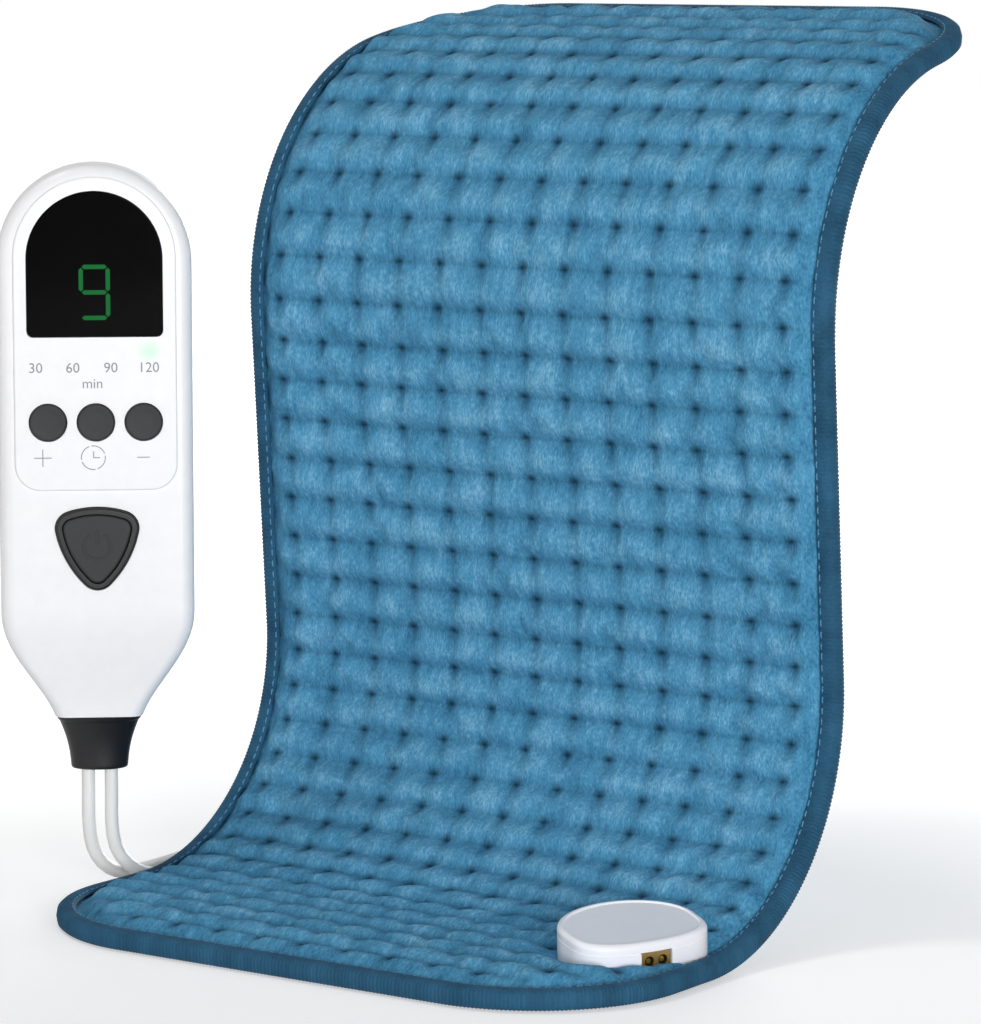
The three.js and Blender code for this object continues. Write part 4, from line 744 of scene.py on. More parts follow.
# stitches: one line of thread along the tape's inner edge, each stitch a short arched bar
threadSet = {
    "length": 0.0026, "width": 0.00045, "pitch": 0.0038, "inset": 0.0056, "level": 0.00665, "arch": 0.0002,
    "bar": [
        (-0.5, -0.5, 0), (-0.5, 0.5, 0), (-0.15, 0.5, 1), (-0.15, -0.5, 1),
        (0.15, -0.5, 1), (0.15, 0.5, 1), (0.5, 0.5, 0), (0.5, -0.5, 0),
    ],
    "faces": [(0, 1, 2, 3), (3, 2, 5, 4), (4, 5, 6, 7), (0, 3, 4, 7), (1, 6, 5, 2), (0, 7, 6, 1)],
}
places, inward = outlineWalk(threadSet["pitch"])
barAlong, barAcross, barUp = np.array(threadSet["bar"]).T[:, :, None]
points, faces = [], []
for k, (place, into) in enumerate(zip(places, inward)):
    ahead = np.array([into[1], -into[0]])
    corners = place + into * threadSet["inset"] + barAlong * threadSet["length"] * ahead
    corners = corners + barAcross * threadSet["width"] * into
    points.append(onPad(corners[:, 0], corners[:, 1], threadSet["level"] + barUp[:, 0] * threadSet["arch"]))
    faces += [[len(barUp) * k + i for i in face] for face in threadSet["faces"]]
stitches = meshPiece("binding_stitches", np.concatenate(points), faces)
# thread: spun polyester, its colour paler than the tape: a painted highlight where its twist catches the light
threadMaterial = grainedMaterial("spun_polyester_thread", ("#3f7fa8", "#5d9bc2"), (0.5, 0.7), 0.0005, 0.3)
dress(stitches, "binding_stitches", rootBody, threadMaterial)
print("binding has", len(binding.data.polygons), "faces and", len(places), "stitches")

# controller: built in mm at its boot's lower end, facing -Y, then put in its place
# panel and window: half width, top, bottom, corner and steps; rods: diameter, front and rear
caseSet = {
    "place": (-0.133, 0.0356, 0.043), "turn": math.radians(40), "bottom": 19.3, "top": 211.3, "shoulder": 37,
    "half": 33.5, "neck": 15.2, "neckShare": 0.9, "flare": 0.25, "neckHandle": 0.32, "shoulderHandle": 0.6,
    "front": 13.0, "back": 14.0, "endDepth": 9.8, "wall": 2.2, "round": 5.0, "parting": 0.3,
    "panel": (27.9, 207.2, 99.2, 9, 13), "panelFace": -14.2, "panelDepth": (-14.2, -11.2, 0.7, 4),
    "window": (23.1, 202.1, 152.5, 2, 7), "fit": 0.3, "through": (-18, -7),
    "buttonColumns": (-16.4, 0, 16.4), "buttonHeight": 122.9, "buttonHole": 13.3, "powerHeight": 78.8,
    "screws": [(-25.2, 136.3), (-25.2, 66.3), (25.2, 136.3), (25.2, 66.3)],
    "frontBoss": (6.6, -11.0, 0.0), "frontPilot": (3.2, -6.6, 2), "backBoss": (9.6, 0.3, 11.9),
    "backWell": (6.2, 10.5, 18, 40), "backPilot": (3.2, -2, 12), "passage": (22.4, 11.6), "passageRise": 6,
    # painted glow of the LED behind the case: its place, reach, share and green tone
    "lit": (18.6, -14.2, 147.4), "litReach": 5.5, "litShare": 0.9, "litTone": "#cdf5d9",
}
casePlace = (
    Matrix.Translation(caseSet["place"]) @ Matrix.Rotation(caseSet["turn"], 4, "Z") @ Matrix.Scale(0.001, 4)
)


def seat(piece, name, body, material, replaced=(), place=casePlace):
    piece.data.transform(place)
    smoothPiece(piece)
    return dress(piece, name, body, material, replaced)


# opens a piece for editing with some of its edges or faces selected
def editParts(piece, kind, parts, test):
    choose(piece)
    bpy.ops.object.mode_set(mode="EDIT")
    bpy.ops.mesh.select_mode(type=kind)
    bpy.ops.mesh.select_all(action="DESELECT")
    bpy.ops.object.mode_set(mode="OBJECT")
    for part in getattr(piece.data, parts):
        part.select = test(part)
    bpy.ops.object.mode_set(mode="EDIT")


def roundFront(piece, front, rounding, segments):
    atFront = [abs(point.co.y - front) < 1e-4 for point in piece.data.vertices]
    editParts(piece, "EDGE", "edges", lambda edge: all(atFront[i] for i in edge.vertices))
    bpy.ops.mesh.bevel(offset=rounding, segments=segments, affect="EDGES")
    bpy.ops.object.mode_set(mode="OBJECT")


# an outline across and up, made a plate from rear to front, with its front edge rounded
def facePlate(name, outline, front, rear, rounding=0.0, segments=3):
    piece = prism(name, [(x, rear, z) for x, z in outline], (0, front - rear, 0))
    if rounding:
        roundFront(piece, front, rounding, segments)
    return piece


def rod(x, z, diameter, front, rear, sides=32):
    return facePlate("rod", oval((x, z), diameter, diameter, sides), front, rear)


def box(x, z, halfX, halfZ):
    return [(x - halfX, z - halfZ), (x + halfX, z - halfZ), (x + halfX, z + halfZ), (x - halfX, z + halfZ)]


# a strip along an arc, so wide
def band(centre, radius, width, start, end, steps):
    outer, inner = radius + width / 2, radius - width / 2
    return np.concatenate([arc(centre, outer, start, end, steps), arc(centre, inner, end, start, steps)])


# outline of the case, from the right of the neck over the arch to the left, drawn in by an inset
def caseOutline(inset):
    bottom, height, half = caseSet["bottom"], caseSet["shoulder"], caseSet["half"] - inset
    neck = caseSet["neck"] - caseSet["neckShare"] * inset
    t = np.linspace(0, 1, 15)[:, None]
    handles = np.array([
        (neck, bottom),
        (neck + (half - neck) * caseSet["flare"], bottom + height * caseSet["neckHandle"]),
        (half, bottom + height * caseSet["shoulderHandle"]),
        (half, bottom + height),
    ])
    flank = sum(f * (1 - t) ** (3 - k) * t**k * h for k, (f, h) in enumerate(zip((1, 3, 3, 1), handles)))
    centre = caseSet["top"] - caseSet["half"]
    side = np.stack([np.full(5, half), np.linspace(bottom + height, centre, 6)[1:]], 1)
    top = arc((0, centre), half, 0, math.pi, 41)[1:-1]
    right = np.concatenate([flank, side])
    return np.concatenate([right, top, right[::-1] * (-1, 1)])


# one half of the case: hollow, from its inner cap over the parting rim to its outer cap
def caseHalf(name, depth, parting, sense):
    def ring(inset, level, narrow=1.0):
        outline = caseOutline(inset)
        rise = smoothStep((outline[:, 1] - caseSet["bottom"]) / caseSet["shoulder"])
        taper = (depth - caseSet["endDepth"]) * (1 - rise)
        reach = np.maximum(level - taper, 0) if level > parting else np.full(len(outline), parting)
        return np.stack([outline[:, 0] * narrow, sense * reach, outline[:, 1]], 1)

    def cap(wall, round):
        turns = np.linspace(0, math.pi / 2, 9)
        flat = depth - wall
        rounded = [ring(wall + round * (1 - math.cos(t)), flat - round * (1 - math.sin(t))) for t in turns]
        return [ring(wall, parting), *rounded, *(ring(wall + round, flat, n) for n in (0.75, 0.5, 0.25, 0))]

    wall = caseSet["wall"]
    inner = cap(wall, caseSet["round"] - wall / 2)
    for points in inner:
        points[:, 2] = np.maximum(points[:, 2], caseSet["bottom"] + wall)
    return rolledGrid(name, [*inner[::-1], *cap(0, caseSet["round"])])


# a field with two round corners below and an arch above, grown all round
def archOutline(half, top, bottom, corner, steps, grow=0.0):
    centre = (0, top - half)
    half, corner, bottom = half + grow, corner + grow, bottom - grow
    return np.concatenate([
        arc((half - corner, bottom + corner), corner, -math.pi / 2, 0, steps),
        arc(centre, half, 0, math.pi, 49),
        arc((corner - half, bottom + corner), corner, math.pi, 1.5 * math.pi, steps),
    ])


# shield of the power button: a rounded triangle whose sides swell a little
powerSet = {
    "corner": 6, "half": 8.3, "upper": 7.2, "lower": 8.2, "swell": 1.5, "turnShort": 0.26,
    "bezel": 2.2, "fit": 0.35,
}


def powerOutline(grow):
    radius, centre, short = powerSet["corner"] + grow, caseSet["powerHeight"], powerSet["turnShort"]
    slant = math.atan2(powerSet["half"], powerSet["upper"] + powerSet["lower"])
    upper = centre + powerSet["upper"]
    corners = [arc(place, radius, start + short, end - short, 13) for place, start, end in (
        ((powerSet["half"], upper), -slant, math.pi / 2),
        ((-powerSet["half"], upper), math.pi / 2, math.pi + slant),
        ((0, centre - powerSet["lower"]), math.pi + slant, 2 * math.pi - slant),
    )]
    t = np.linspace(0, 1, 13)[1:-1, None]
    outline = []
    for here, after in zip(corners, corners[1:] + corners[:1]):
        chord = after[0] - here[-1]
        out = np.array([chord[1], -chord[0]]) / np.linalg.norm(chord)
        outline += [here, here[-1] + chord * t + out * powerSet["swell"] * 4 * t * (1 - t)]
    return np.concatenate(outline)


def screwRods(kind):
    return [rod(x, z, *caseSet[kind]) for x, z in caseSet["screws"]]


def cordPassage():
    ring = [(x, y, caseSet["bottom"] - 2) for x, y in oval((0, 0), *caseSet["passage"], 40)]
    return prism("passage", ring, (0, 0, caseSet["passageRise"]))


# moulded ABS: white, satin from a fine spark-eroded mould, with a painted green glow where a lit LED sits
# behind it
caseAbs = grainedMaterial("moulded_white_abs", ("#f2f2f3", "#ebebed"), (0.3, 0.42), 0.0006, 0.06)
tree = caseAbs.node_tree
shader = tree.nodes["Principled BSDF"]
# painted glow: the base colour turns green near the lit LED, as its light would through the case
where = addNode(tree, "TexCoord").outputs["Object"]
lit = tuple(casePlace @ Vector(caseSet["lit"]))
away = addNode(tree, "VectorMath", {"operation": "DISTANCE", 1: lit}, {0: where}).outputs["Value"]
glow = addNode(tree, "MapRange", {
    "interpolation_type": "SMOOTHSTEP", "From Min": 0, "From Max": caseSet["litReach"] * 0.001,
    "To Min": caseSet["litShare"], "To Max": 0,
}, {"Value": away})
plain = shader.inputs["Base Color"].links[0].from_socket
ledGlowPaint = addNode(tree, "Mix", {"data_type": "RGBA", 7: hexColor(caseSet["litTone"])}, {0: glow, 6: plain})
wire(tree, shader, {"Base Color": ledGlowPaint.outputs[2]})
through = caseSet["through"]
frontCase = caseHalf("front_case", caseSet["front"], 0.0, -1)
fuse(frontCase, facePlate("panel", archOutline(*caseSet["panel"]), *caseSet["panelDepth"]))
fuse(frontCase, *screwRods("frontBoss"))
carve(
    frontCase,
    facePlate("window", archOutline(*caseSet["window"], caseSet["fit"]), *through),
    facePlate("power", powerOutline(caseSet["fit"]), *through),
    *(rod(x, caseSet["buttonHeight"], caseSet["buttonHole"], *through, 48) for x in caseSet["buttonColumns"]),
    *screwRods("frontPilot"),
    cordPassage(),
)
backCase = caseHalf("back_case", caseSet["back"], caseSet["parting"], 1)
fuse(backCase, *screwRods("backBoss"))
carve(backCase, *screwRods("backWell"), *screwRods("backPilot"), cordPassage())
seat(frontCase, "front_case", rootBody, caseAbs, ["front_shell"])
seat(backCase, "back_case", rootBody, caseAbs, ["back_shell"])
print("case halves done")

# display: a smoked window with a lip behind it, and one lit digit
displaySet = {"face": -14.0, "depth": (-14.0, -9.9, 0.25, 3), "lip": 1.5, "lipDepth": (-10.5, -9.3, 0.2, 2)}
digitSet = {"top": 176.4, "bottom": 158.9, "width": 9.2, "stroke": 1.5, "gap": 0.3, "rise": 0.04, "sunk": 0.2}
# lens: cast smoked acrylic, polished, nearly black with sharp reflections and a few hairline scuffs
lensAcrylic = grainedMaterial("smoked_acrylic", ("#020203", "#050506"), (0.05, 0.1), 0.004, 0.01, {
    "IOR": 1.49, "Specular IOR Level": 0.03,
})
face = displaySet["face"]
lens = facePlate("window_lens", archOutline(*caseSet["window"]), *displaySet["depth"])
lip = archOutline(*caseSet["window"], displaySet["lip"])
fuse(lens, facePlate("lip", lip, *displaySet["lipDepth"]))
seat(lens, "window_lens", rootBody, lensAcrylic, ["display_lens"])


# a bar with pointed ends, between two places on the display
def digitBar(start, end):
    start, end = np.array(start), np.array(end)
    way = (end - start) / np.linalg.norm(end - start)
    point = way * digitSet["stroke"] / 2
    side = np.array([point[1], -point[0]])
    first, last = start + way * digitSet["gap"], end - way * digitSet["gap"]
    outline = [
        first, first + point + side, last - point + side, last, last - point - side, first + point - side,
    ]
    return facePlate("digit_bar", outline, face - digitSet["rise"], face + digitSet["sunk"])


def joined(pieces):
    choose(*pieces)
    bpy.ops.object.join()
    return pieces[0]


half, top, bottom = digitSet["width"] / 2, digitSet["top"], digitSet["bottom"]
spots = [(x, z) for z in (top, (top + bottom) / 2, bottom) for x in (-half, half)]
strokes = ((0, 1), (1, 3), (3, 5), (4, 5), (0, 2), (2, 3))
digit = joined([digitBar(spots[start], spots[end]) for start, end in strokes])
# lit segments: green light-emitting epoxy, which glows evenly behind the smoke
litSegment = grainedMaterial("lit_green_segment", ("#06401b", "#084c21"), (0.4, 0.5), 0.0008, 0.02, {
    "Emission Color": hexColor("#1fa04a"), "Emission Strength": 0.24, "Specular IOR Level": 0.05,
})
seat(digit, "display_digit", rootBody, litSegment)
print("display done")

# round keys: silicone rubber, moulded dull, with a shallow dish for the finger
keySet = {
    "diameter": 12.6, "front": -15.6, "rear": -9.8, "edge": 0.7, "dish": 0.25, "dishSteps": (1.2, 1.4),
    "lip": (14.6, -10.5, -9.3, 48), "stem": (4, -9.7, -7.4, 24),
}
keyRubber = grainedMaterial(
    "dark_silicone_rubber", ("#262728", "#2e2f30"), (0.5, 0.65), 0.0007, 0.12, {"Specular IOR Level": 0.3},
)


def roundKey(x):
    z, front = caseSet["buttonHeight"], keySet["front"]
    key = rod(x, z, keySet["diameter"], front, keySet["rear"], 56)
    roundFront(key, front, keySet["edge"], 4)
    editParts(key, "FACE", "polygons", lambda face: face.normal.y < -0.99 and face.center.y < front + 1e-3)
    for inset in keySet["dishSteps"]:
        bpy.ops.mesh.inset(thickness=inset)
        bpy.ops.transform.translate(value=(0, keySet["dish"] / 2, 0))
    bpy.ops.object.mode_set(mode="OBJECT")
    fuse(key, rod(x, z, *keySet["lip"]))
    fuse(key, rod(x, z, *keySet["stem"]))
    return key


for name, x in zip(("plus", "timer", "minus"), caseSet["buttonColumns"]):
    seat(roundKey(x), name + "_key_cap", name + "_key", keyRubber, [name + "_button"])

# power key in its shield-shaped bezel: depths as front and rear, with the rounding of the front edge
shieldSet = {
    "bezel": (-14.7, -9.6, 0.9, 4), "bezelLip": (-10.5, -9.3), "bezelGrow": 1.5,
    "key": (-15.2, -8.6, 0.9, 4), "keyLip": (-9.0, -8.0), "keyGrow": 1.0, "stem": (4, -8.3, -7.4, 24),
    "sign": (-15.6, -14.8, 0.12, 2), "signRise": 1.2, "radius": 4.6, "stroke": 0.9, "open": 0.55,
    "bar": (3.1, 2.5),
}
# bezel: moulded black ABS with a soft satin edge
bezelAbs = grainedMaterial(
    "moulded_black_abs", ("#0d0d0e", "#131314"), (0.34, 0.48), 0.0006, 0.06, {"Specular IOR Level": 0.3},
)
opening = -powerSet["bezel"]
bezel = facePlate("shield_bezel", powerOutline(0), *shieldSet["bezel"])
fuse(bezel, facePlate("lip", powerOutline(shieldSet["bezelGrow"]), *shieldSet["bezelLip"]))
carve(bezel, facePlate("opening", powerOutline(opening), *through))
seat(bezel, "shield_bezel", rootBody, bezelAbs, ["power_bezel"])
power = facePlate("shield_key", powerOutline(opening - powerSet["fit"]), *shieldSet["key"])
signHeight, stroke = caseSet["powerHeight"] + shieldSet["signRise"], shieldSet["stroke"]
ends = math.pi / 2 + shieldSet["open"], 2.5 * math.pi - shieldSet["open"]
sign = band((0, signHeight), shieldSet["radius"], stroke, *ends, 33)
barRise, barHalf = shieldSet["bar"]
bar = box(0, signHeight + barRise, stroke / 2, barHalf)
fuse(power, facePlate("arc", sign, *shieldSet["sign"]), facePlate("bar", bar, *shieldSet["sign"]))
fuse(power, facePlate("lip", powerOutline(opening + shieldSet["keyGrow"]), *shieldSet["keyLip"]))
fuse(power, rod(0, caseSet["powerHeight"], *shieldSet["stem"]))
seat(power, "shield_key", "power_key", keyRubber, ["power_button"])
print("keys done")

# print on the panel: plain figures, the unit and three signs, in grey ink that stands a hair proud
printSet = {
    "proud": 0.03, "size": 4.9, "thin": -0.006, "stroke": 0.32, "signHeight": 110.7,
    "words": [
        ("30", -20.4, 141.6), ("60", -7.7, 141.6), ("90", 5.3, 141.6), ("120", 18.3, 141.6),
        ("min", -1.0, 136.2),
    ],
    "plus": (-18.3, 3.0), "clock": (-1.0, 4.1), "minus": (16.2, 2.2),
    "clockStart": 0.35, "clockGap": 0.18, "hand": 1.1, "handShift": 0.1,
}
panelFace, proud = caseSet["panelFace"], printSet["proud"]


def printWord(text, x, z):
    choose()
    bpy.ops.object.text_add(location=(0, 0, 0))
    word = bpy.context.object
    settings = {
        "body": text, "size": printSet["size"], "align_x": "CENTER", "align_y": "CENTER",
        "offset": printSet["thin"], "extrude": proud, "resolution_u": 4,
    }
    for name, value in settings.items():
        setattr(word.data, name, value)
    bpy.ops.object.convert(target="MESH")
    word.data.transform(Matrix.Translation((x, panelFace, z)) @ Matrix.Rotation(math.pi / 2, 4, "X"))
    return word


def printPatch(outline):
    return facePlate("ink", outline, panelFace - proud, panelFace + proud)


z, half = printSet["signHeight"], printSet["stroke"] / 2
inks = [printWord(*word) for word in printSet["words"]]
x, reach = printSet["plus"]
inks.append(printPatch(box(x, z, reach, half)))
for side in (1, -1):
    inks.append(printPatch(box(x, z + side * (reach + half) / 2, half, (reach - half) / 2)))
x, reach = printSet["minus"]
inks.append(printPatch(box(x, z, reach, half)))
x, reach = printSet["clock"]
for quarter in range(4):
    start = printSet["clockStart"] + quarter * math.pi / 2
    end = start + math.pi / 2 - printSet["clockGap"]
    inks.append(printPatch(band((x, z), reach, printSet["stroke"], start, end, 12)))
hand, shift = printSet["hand"], printSet["handShift"]
inks += [printPatch(box(x + shift, z + hand, half, hand)), printPatch(box(x + shift + hand, z, hand, half))]
# ink: pad-printed grey, matt, a little broken at the edges
inkGrey = grainedMaterial("pad_printed_grey_ink", ("#7c7e81", "#939598"), (0.6, 0.75), 0.0004, 0.05)
seat(joined(inks), "panel_print", rootBody, inkGrey)
print("print done")

# boot: soft black PVC, moulded over both cords, flaring up to the case with a thin rim
bootSet = {
    "length": 19, "low": (19.7, 13.0), "high": (29.4, 18.6), "waist": 0.22, "round": 1.0, "rim": 0.35,
    "rimShape": ((0.91, 0.8), (0.925, 1), (0.985, 1), (1.0, 0.3)),
    "inCase": ((21.8, 11.0, 19), (21.8, 11.0, 21.8), (24.4, 13.6, 21.8), (24.4, 13.6, 24.8), (0, 0, 24.8)),
}


def ovalRing(width, depth, height):
    return [(x, y, height) for x, y in oval((0, 0), width, depth, 64)]


def bootRing(share, grow=0.0):
    swell = share - bootSet["waist"] * math.sin(math.pi * share)
    width, depth = (a + (b - a) * swell + 2 * grow for a, b in zip(bootSet["low"], bootSet["high"]))
    return ovalRing(width, depth, bootSet["length"] * share)


rings = [ovalRing(0, 0, 0)]
for t in np.linspace(math.pi / 2, 0, 5):
    share = bootSet["round"] / bootSet["length"] * (1 - math.sin(t))
    rings.append(bootRing(share, bootSet["round"] * (math.cos(t) - 1)))
rings += [bootRing(share) for share in np.linspace(0.1, 0.9, 17)]
rings += [bootRing(share, bootSet["rim"] * grow) for share, grow in bootSet["rimShape"]]
rings += [ovalRing(*ring) for ring in bootSet["inCase"]]
bootPvc = grainedMaterial(
    "moulded_black_pvc", ("#111112", "#18181a"), (0.34, 0.48), 0.0008, 0.1, {"Specular IOR Level": 0.35},
)
seat(rolledGrid("strain_boot", rings), "strain_boot", rootBody, bootPvc, ["cord_boot"])
print("boot done")


# socket on the pad: white housing with a flat mouth and a sloping lid with a thin raised edge
def socketTop(x):
    rear, front = socketSet["rear"], socketSet["front"]
    return socketSet["shellBottom"] + rear + (front - rear) * (x / socketSet["depth"] + 0.5)


def socketCap(wall, lip, groove):
    def ring(inset, down):
        return socketRing(-wall - inset, lambda x: socketTop(x) - down)

    round = socketSet["round"]
    rings = [socketRing(-wall, lambda x: socketSet["shellBottom"])]
    if groove:
        rings += [ring(inset, socketSet["groove"] + down) for inset, down in socketSet["grooveShape"]]
    for t in np.linspace(0, math.pi / 2, 6):
        rings.append(ring(round * (1 - math.cos(t)), wall + round * (1 - math.sin(t)) - lip))
    rings.append(ring(round + socketSet["lipSlope"], wall - lip))
    lid = ring(round + socketSet["lipWidth"] * 0.5, wall)
    return rings + [[(x, y * share, z) for x, y, z in lid] for share in (1, 0.8, 0.6, 0.4, 0.2, 0)]


# a block along a piece's own x, across y, between two levels
def block(name, low, high):
    ring = [(x, y, low[2]) for x, y in box(
        (low[0] + high[0]) / 2, (low[1] + high[1]) / 2, (high[0] - low[0]) / 2, (high[1] - low[1]) / 2,
    )]
    return prism(name, ring, (0, 0, high[2] - low[2]))


# a round hole along a piece's own x
def bore(x, y, z, diameter, length, sides):
    return prism("bore", [(x, *place) for place in oval((y, z), diameter, diameter, sides)], (length, 0, 0))


inner = socketCap(socketSet["wall"], 0, False)
housing = rolledGrid("socket_housing", [*inner[::-1], *socketCap(0, socketSet["lip"], True)])
length, width, height = socketSet["insert"]
level, front, fit = socketSet["insertLevel"], socketSet["insertFront"], socketSet["fit"]
low, high = (front - length, -width / 2, level - height / 2), (front, width / 2, level + height / 2)
carve(housing, block(
    "mouth", (low[0], low[1] - fit, low[2] - fit), (front + socketSet["mouth"], high[1] + fit, high[2] + fit),
))
# housing: moulded white ABS with a blue cast, satin lid and sharper wall
socketAbs = grainedMaterial("moulded_cool_white_abs", ("#f6f7fc", "#f0f2f9"), (0.34, 0.46), 0.0007, 0.05)
seat(housing, "socket_housing", rootBody, socketAbs, ["socket_shell"], socketPlace)
insert = block("socket_block", low, high)
applyModifier(insert, "BEVEL", {"width": socketSet["edge"], "segments": 2, "limit_method": "ANGLE"})
for y in (-socketSet["pitch"] / 2, socketSet["pitch"] / 2):
    carve(insert, bore(front - socketSet["holeDepth"], y, level, socketSet["hole"], socketSet["cut"], 28))
# insert: cast bronze-coloured alloy, brushed along its length and darker where it was handled
bronze = grainedMaterial("brushed_bronze", ("#8a6f42", "#a98b58"), (0.32, 0.5), 0.0005, 0.1, metal)
seat(insert, "socket_block", rootBody, bronze, ["socket_insert"], socketPlace)
print("socket done")

# plugs: moulded bodies, round at the cord and squared at the face, with grip grooves across them
plugSet = {
    "grip": 6, "gripShare": 0.55, "shoulder": 0.96, "face": 0.94, "round": 1.0, "squareness": 0.5,
    "sides": 56, "grooves": (0.46, 0.53, 0.60, 0.67), "grooveDepth": 0.35,
    "grooveShape": ((-0.6, 0), (-0.3, 1), (0.3, 1), (0.6, 0)),
}


def plugRings(length, breadth, height):
    def ring(x, share, square, inset=0.0):
        angle = np.linspace(0, 2 * np.pi, plugSet["sides"], endpoint=False)
        c, s = np.cos(angle), np.sin(angle)
        power = 1 + (plugSet["squareness"] - 1) * square
        y = np.sign(s) * np.abs(s) ** power * (breadth * share / 2 - inset)
        z = height / 2 - np.sign(c) * np.abs(c) ** power * (height * share / 2 - inset)
        return np.stack([np.full(len(y), x), y, z], 1)

    grip, low, high, round = plugSet["grip"], plugSet["gripShare"], plugSet["shoulder"], plugSet["round"]
    rings = [ring(0, 0, 0), ring(0, low * 0.9, 0), ring(0.8, low, 0), ring(grip * 0.6, low, 0)]
    for t in np.linspace(0.1, 1, 10):
        rise = smoothStep(t)
        rings.append(ring(grip * (0.6 + 1.4 * t), low + (high - low) * rise, rise))
    for groove in plugSet["grooves"]:
        share = high + (1 - high) * groove
        for along, depth in plugSet["grooveShape"]:
            rings.append(ring(length * groove + along, share, 1, depth * plugSet["grooveDepth"]))
    rings.append(ring(length - round, 1, 1))
    for t in np.linspace(0.2, 1, 5) * math.pi / 2:
        share = 1 - (1 - plugSet["face"]) * (1 - math.cos(t))
        rings.append(ring(length - round * (1 - math.sin(t)), share, 1))
    rings.append(ring(length, 0, 1))
    return rings


# where a plug lies on the floor, and which way it points
def plugPlace(x, y, turn):
    return Matrix.Translation((x, y, 0)) @ Matrix.Rotation(turn, 4, "Z") @ Matrix.Scale(0.001, 4)


# the mains plug has slots for its blades, the pad plug has bores for its sleeves
mainsPlugSet = {
    "size": (36, 26, 17), "place": plugPlace(-0.080, 0.277, 0),
    "pitch": 12.7, "slot": (2.1, 31.7, 50), "slotLevels": (5.05, 11.95),
}
padPlugSet = {
    "size": (30, 19, 10), "place": plugPlace(0.029, 0.136, -math.pi / 2),
    "pitch": 5, "bore": (21.4, 5, 3.4, 14),
}
# plugs: moulded white PVC, satin, a shade duller than the cords
plugPvc = grainedMaterial("moulded_white_pvc", ("#ededeb", "#e2e2df"), (0.42, 0.56), 0.0008, 0.1)
mainsPlug = rolledGrid("mains_plug_body", plugRings(*mainsPlugSet["size"]))
wide, start, end = mainsPlugSet["slot"]
low, high = mainsPlugSet["slotLevels"]
for y in (-mainsPlugSet["pitch"] / 2, mainsPlugSet["pitch"] / 2):
    carve(mainsPlug, block("slot", (start, y - wide / 2, low), (end, y + wide / 2, high)))
seat(mainsPlug, "mains_plug_body", rootBody, plugPvc, ["mains_plug"], mainsPlugSet["place"])
padPlug = rolledGrid("pad_plug_body", plugRings(*padPlugSet["size"]))
start, level, wide, length = padPlugSet["bore"]
for y in (-padPlugSet["pitch"] / 2, padPlugSet["pitch"] / 2):
    carve(padPlug, bore(start, y, level, wide, length, 24))
seat(padPlug, "pad_plug_body", rootBody, plugPvc, ["pad_plug"], padPlugSet["place"])
for lead, plug in ((mainsLeadSet, mainsPlug), (padLeadSet, padPlug)):
    lead["onIt"] = [lead["tie"], plug, *(nodes[name] for name in lead["plugParts"])]
print("plugs done")

# case screws: pan heads with a cross recess, sunk in the back
screwSet = {
    "head": 5.6, "seat": 10.8, "top": 12.8, "edge": 0.45, "shank": (2.6, 11.3, -6.2, 24),
    "recess": (1.6, 0.4), "deep": 1.1,
}
# screws: zinc-plated steel, bright with faint turning marks
zinc = grainedMaterial("zinc_plated_steel", ("#b3b6bb", "#c6c9cd"), (0.28, 0.42), 0.0004, 0.1, metal)
top, long = screwSet["top"], screwSet["recess"]
for number, (x, z) in enumerate(caseSet["screws"], 1):
    head = oval((x, z), screwSet["head"], screwSet["head"], 40)
    screw = facePlate("screw", head, top, screwSet["seat"], screwSet["edge"], 3)
    fuse(screw, rod(x, z, *screwSet["shank"]))
    for halves in (long, long[::-1]):
        carve(screw, facePlate("recess", box(x, z, *halves), top + 1, top - screwSet["deep"]))
    seat(screw, f"case_screw_{number}_head", rootBody, zinc, [f"case_screw_{number}"])
print("screws done")

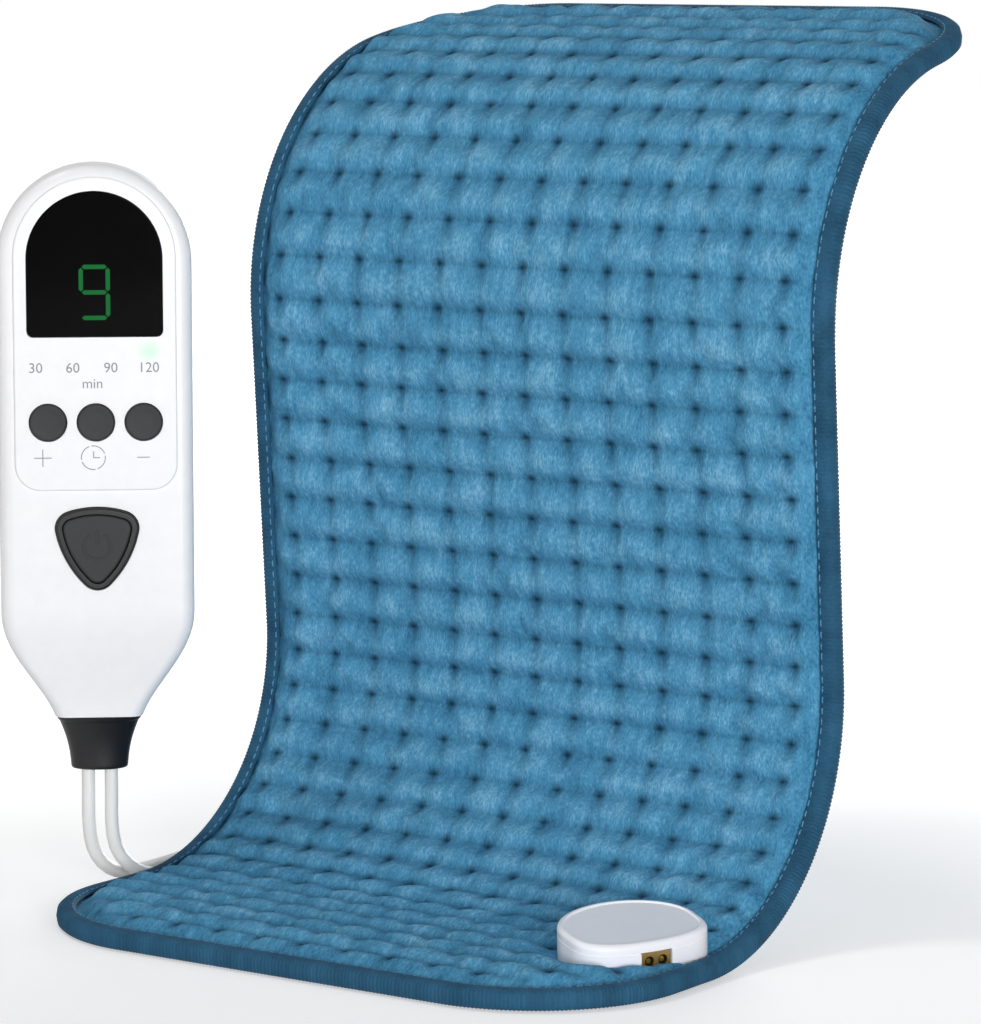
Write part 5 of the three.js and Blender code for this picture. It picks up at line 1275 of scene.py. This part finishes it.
# solids that keep their shape get the finish of what they are made of
keys = ("plus", "timer", "minus", "power")
finishSet = [
    # wadding: needled polyester, loose white fibre with soft grey patches of painted shade for its hollows
    ("needled_polyester_wadding", ("#ece9e2", "#d9d5cb"), (0.85, 0.95), 0.0016, 0.6, {}, ["batting"]),
    # heating wire: resistance wire in a red silicone sleeve, smooth with a dull gloss
    ("red_silicone_sleeve", ("#a8433a", "#8f352e"), (0.4, 0.55), 0.0008, 0.1, {}, ["heating_wire"]),
    # carrier: spun-bonded fleece, pale and papery
    ("spunbonded_fleece", ("#dfe3e4", "#cdd3d6"), (0.75, 0.9), 0.0009, 0.5, {}, ["wire_carrier"]),
    # thermostats: moulded phenolic resin, near black with a faint speckle
    ("moulded_phenolic", ("#1b1b1d", "#2a2826"), (0.45, 0.6), 0.0006, 0.15, {}, [
        "thermostat_1", "thermostat_2",
    ]),
    # socket base: grey-white ABS, duller than the housing
    ("moulded_grey_white_abs", ("#dcdde2", "#d0d1d8"), (0.45, 0.6), 0.0008, 0.08, {}, ["socket_base"]),
    # contacts: gold flash over nickel, bright and warm
    ("gold_plated_brass", ("#d6a945", "#e6c267"), (0.16, 0.28), 0.0003, 0.05, metal, [
        "contact_pin_left", "contact_pin_right",
    ]),
    # display module: black potting epoxy, poured and a little wavy
    ("potted_black_epoxy", ("#141517", "#1e2023"), (0.2, 0.35), 0.002, 0.1, {}, ["display_module"]),
    # board: glass-epoxy laminate under green solder mask
    ("glass_epoxy_board", ("#1f6a45", "#175338"), (0.3, 0.45), 0.0011, 0.15, {"Coat Weight": 0.3}, [
        "control_board",
    ]),
    # LEDs: diffused green epoxy
    ("diffused_green_epoxy", ("#9fe8b4", "#8bd8a2"), (0.25, 0.4), 0.0007, 0.05, {}, [
        f"timer_led_{minutes}" for minutes in (30, 60, 90, 120)
    ]),
    # switch bodies and chips: black moulding compound, matt from the mould
    ("black_moulding_compound", ("#1c1d1f", "#292a2c"), (0.55, 0.7), 0.0005, 0.2, {}, [
        *(f"{key}_switch" for key in keys), "microcontroller", "triac",
    ]),
    # plungers: grey nylon, a little waxy
    ("grey_nylon", ("#5a5c5f", "#6a6c6f"), (0.45, 0.6), 0.0005, 0.1, {}, [
        f"{key}_switch_plunger" for key in keys
    ]),
    # capacitor: film block dipped in tan epoxy, glossy and uneven
    ("dipped_tan_epoxy", ("#b98a4e", "#a37540"), (0.2, 0.35), 0.0014, 0.2, {}, ["capacitor"]),
    # fuse: glazed ceramic tube
    ("glazed_ceramic", ("#e4e1d8", "#d4d0c4"), (0.15, 0.3), 0.001, 0.05, {}, ["fuse"]),
    # terminal block: green nylon, satin
    ("green_nylon_terminal", ("#2c6b3d", "#245a33"), (0.45, 0.6), 0.0006, 0.12, {}, ["terminal_block"]),
    # blades and sleeves: nickel-plated brass, rolled and bright
    ("nickel_plated_brass", ("#c9c4b8", "#b4afa3"), (0.2, 0.34), 0.0004, 0.08, metal, [
        *mainsLeadSet["plugParts"], *padLeadSet["plugParts"],
    ]),
]
for *look, dressed in finishSet:
    finish = grainedMaterial(*look)
    for node in dressed:
        for slot in nodes[node].material_slots:
            slot.material = finish
print("finishes given to the solids that stay")
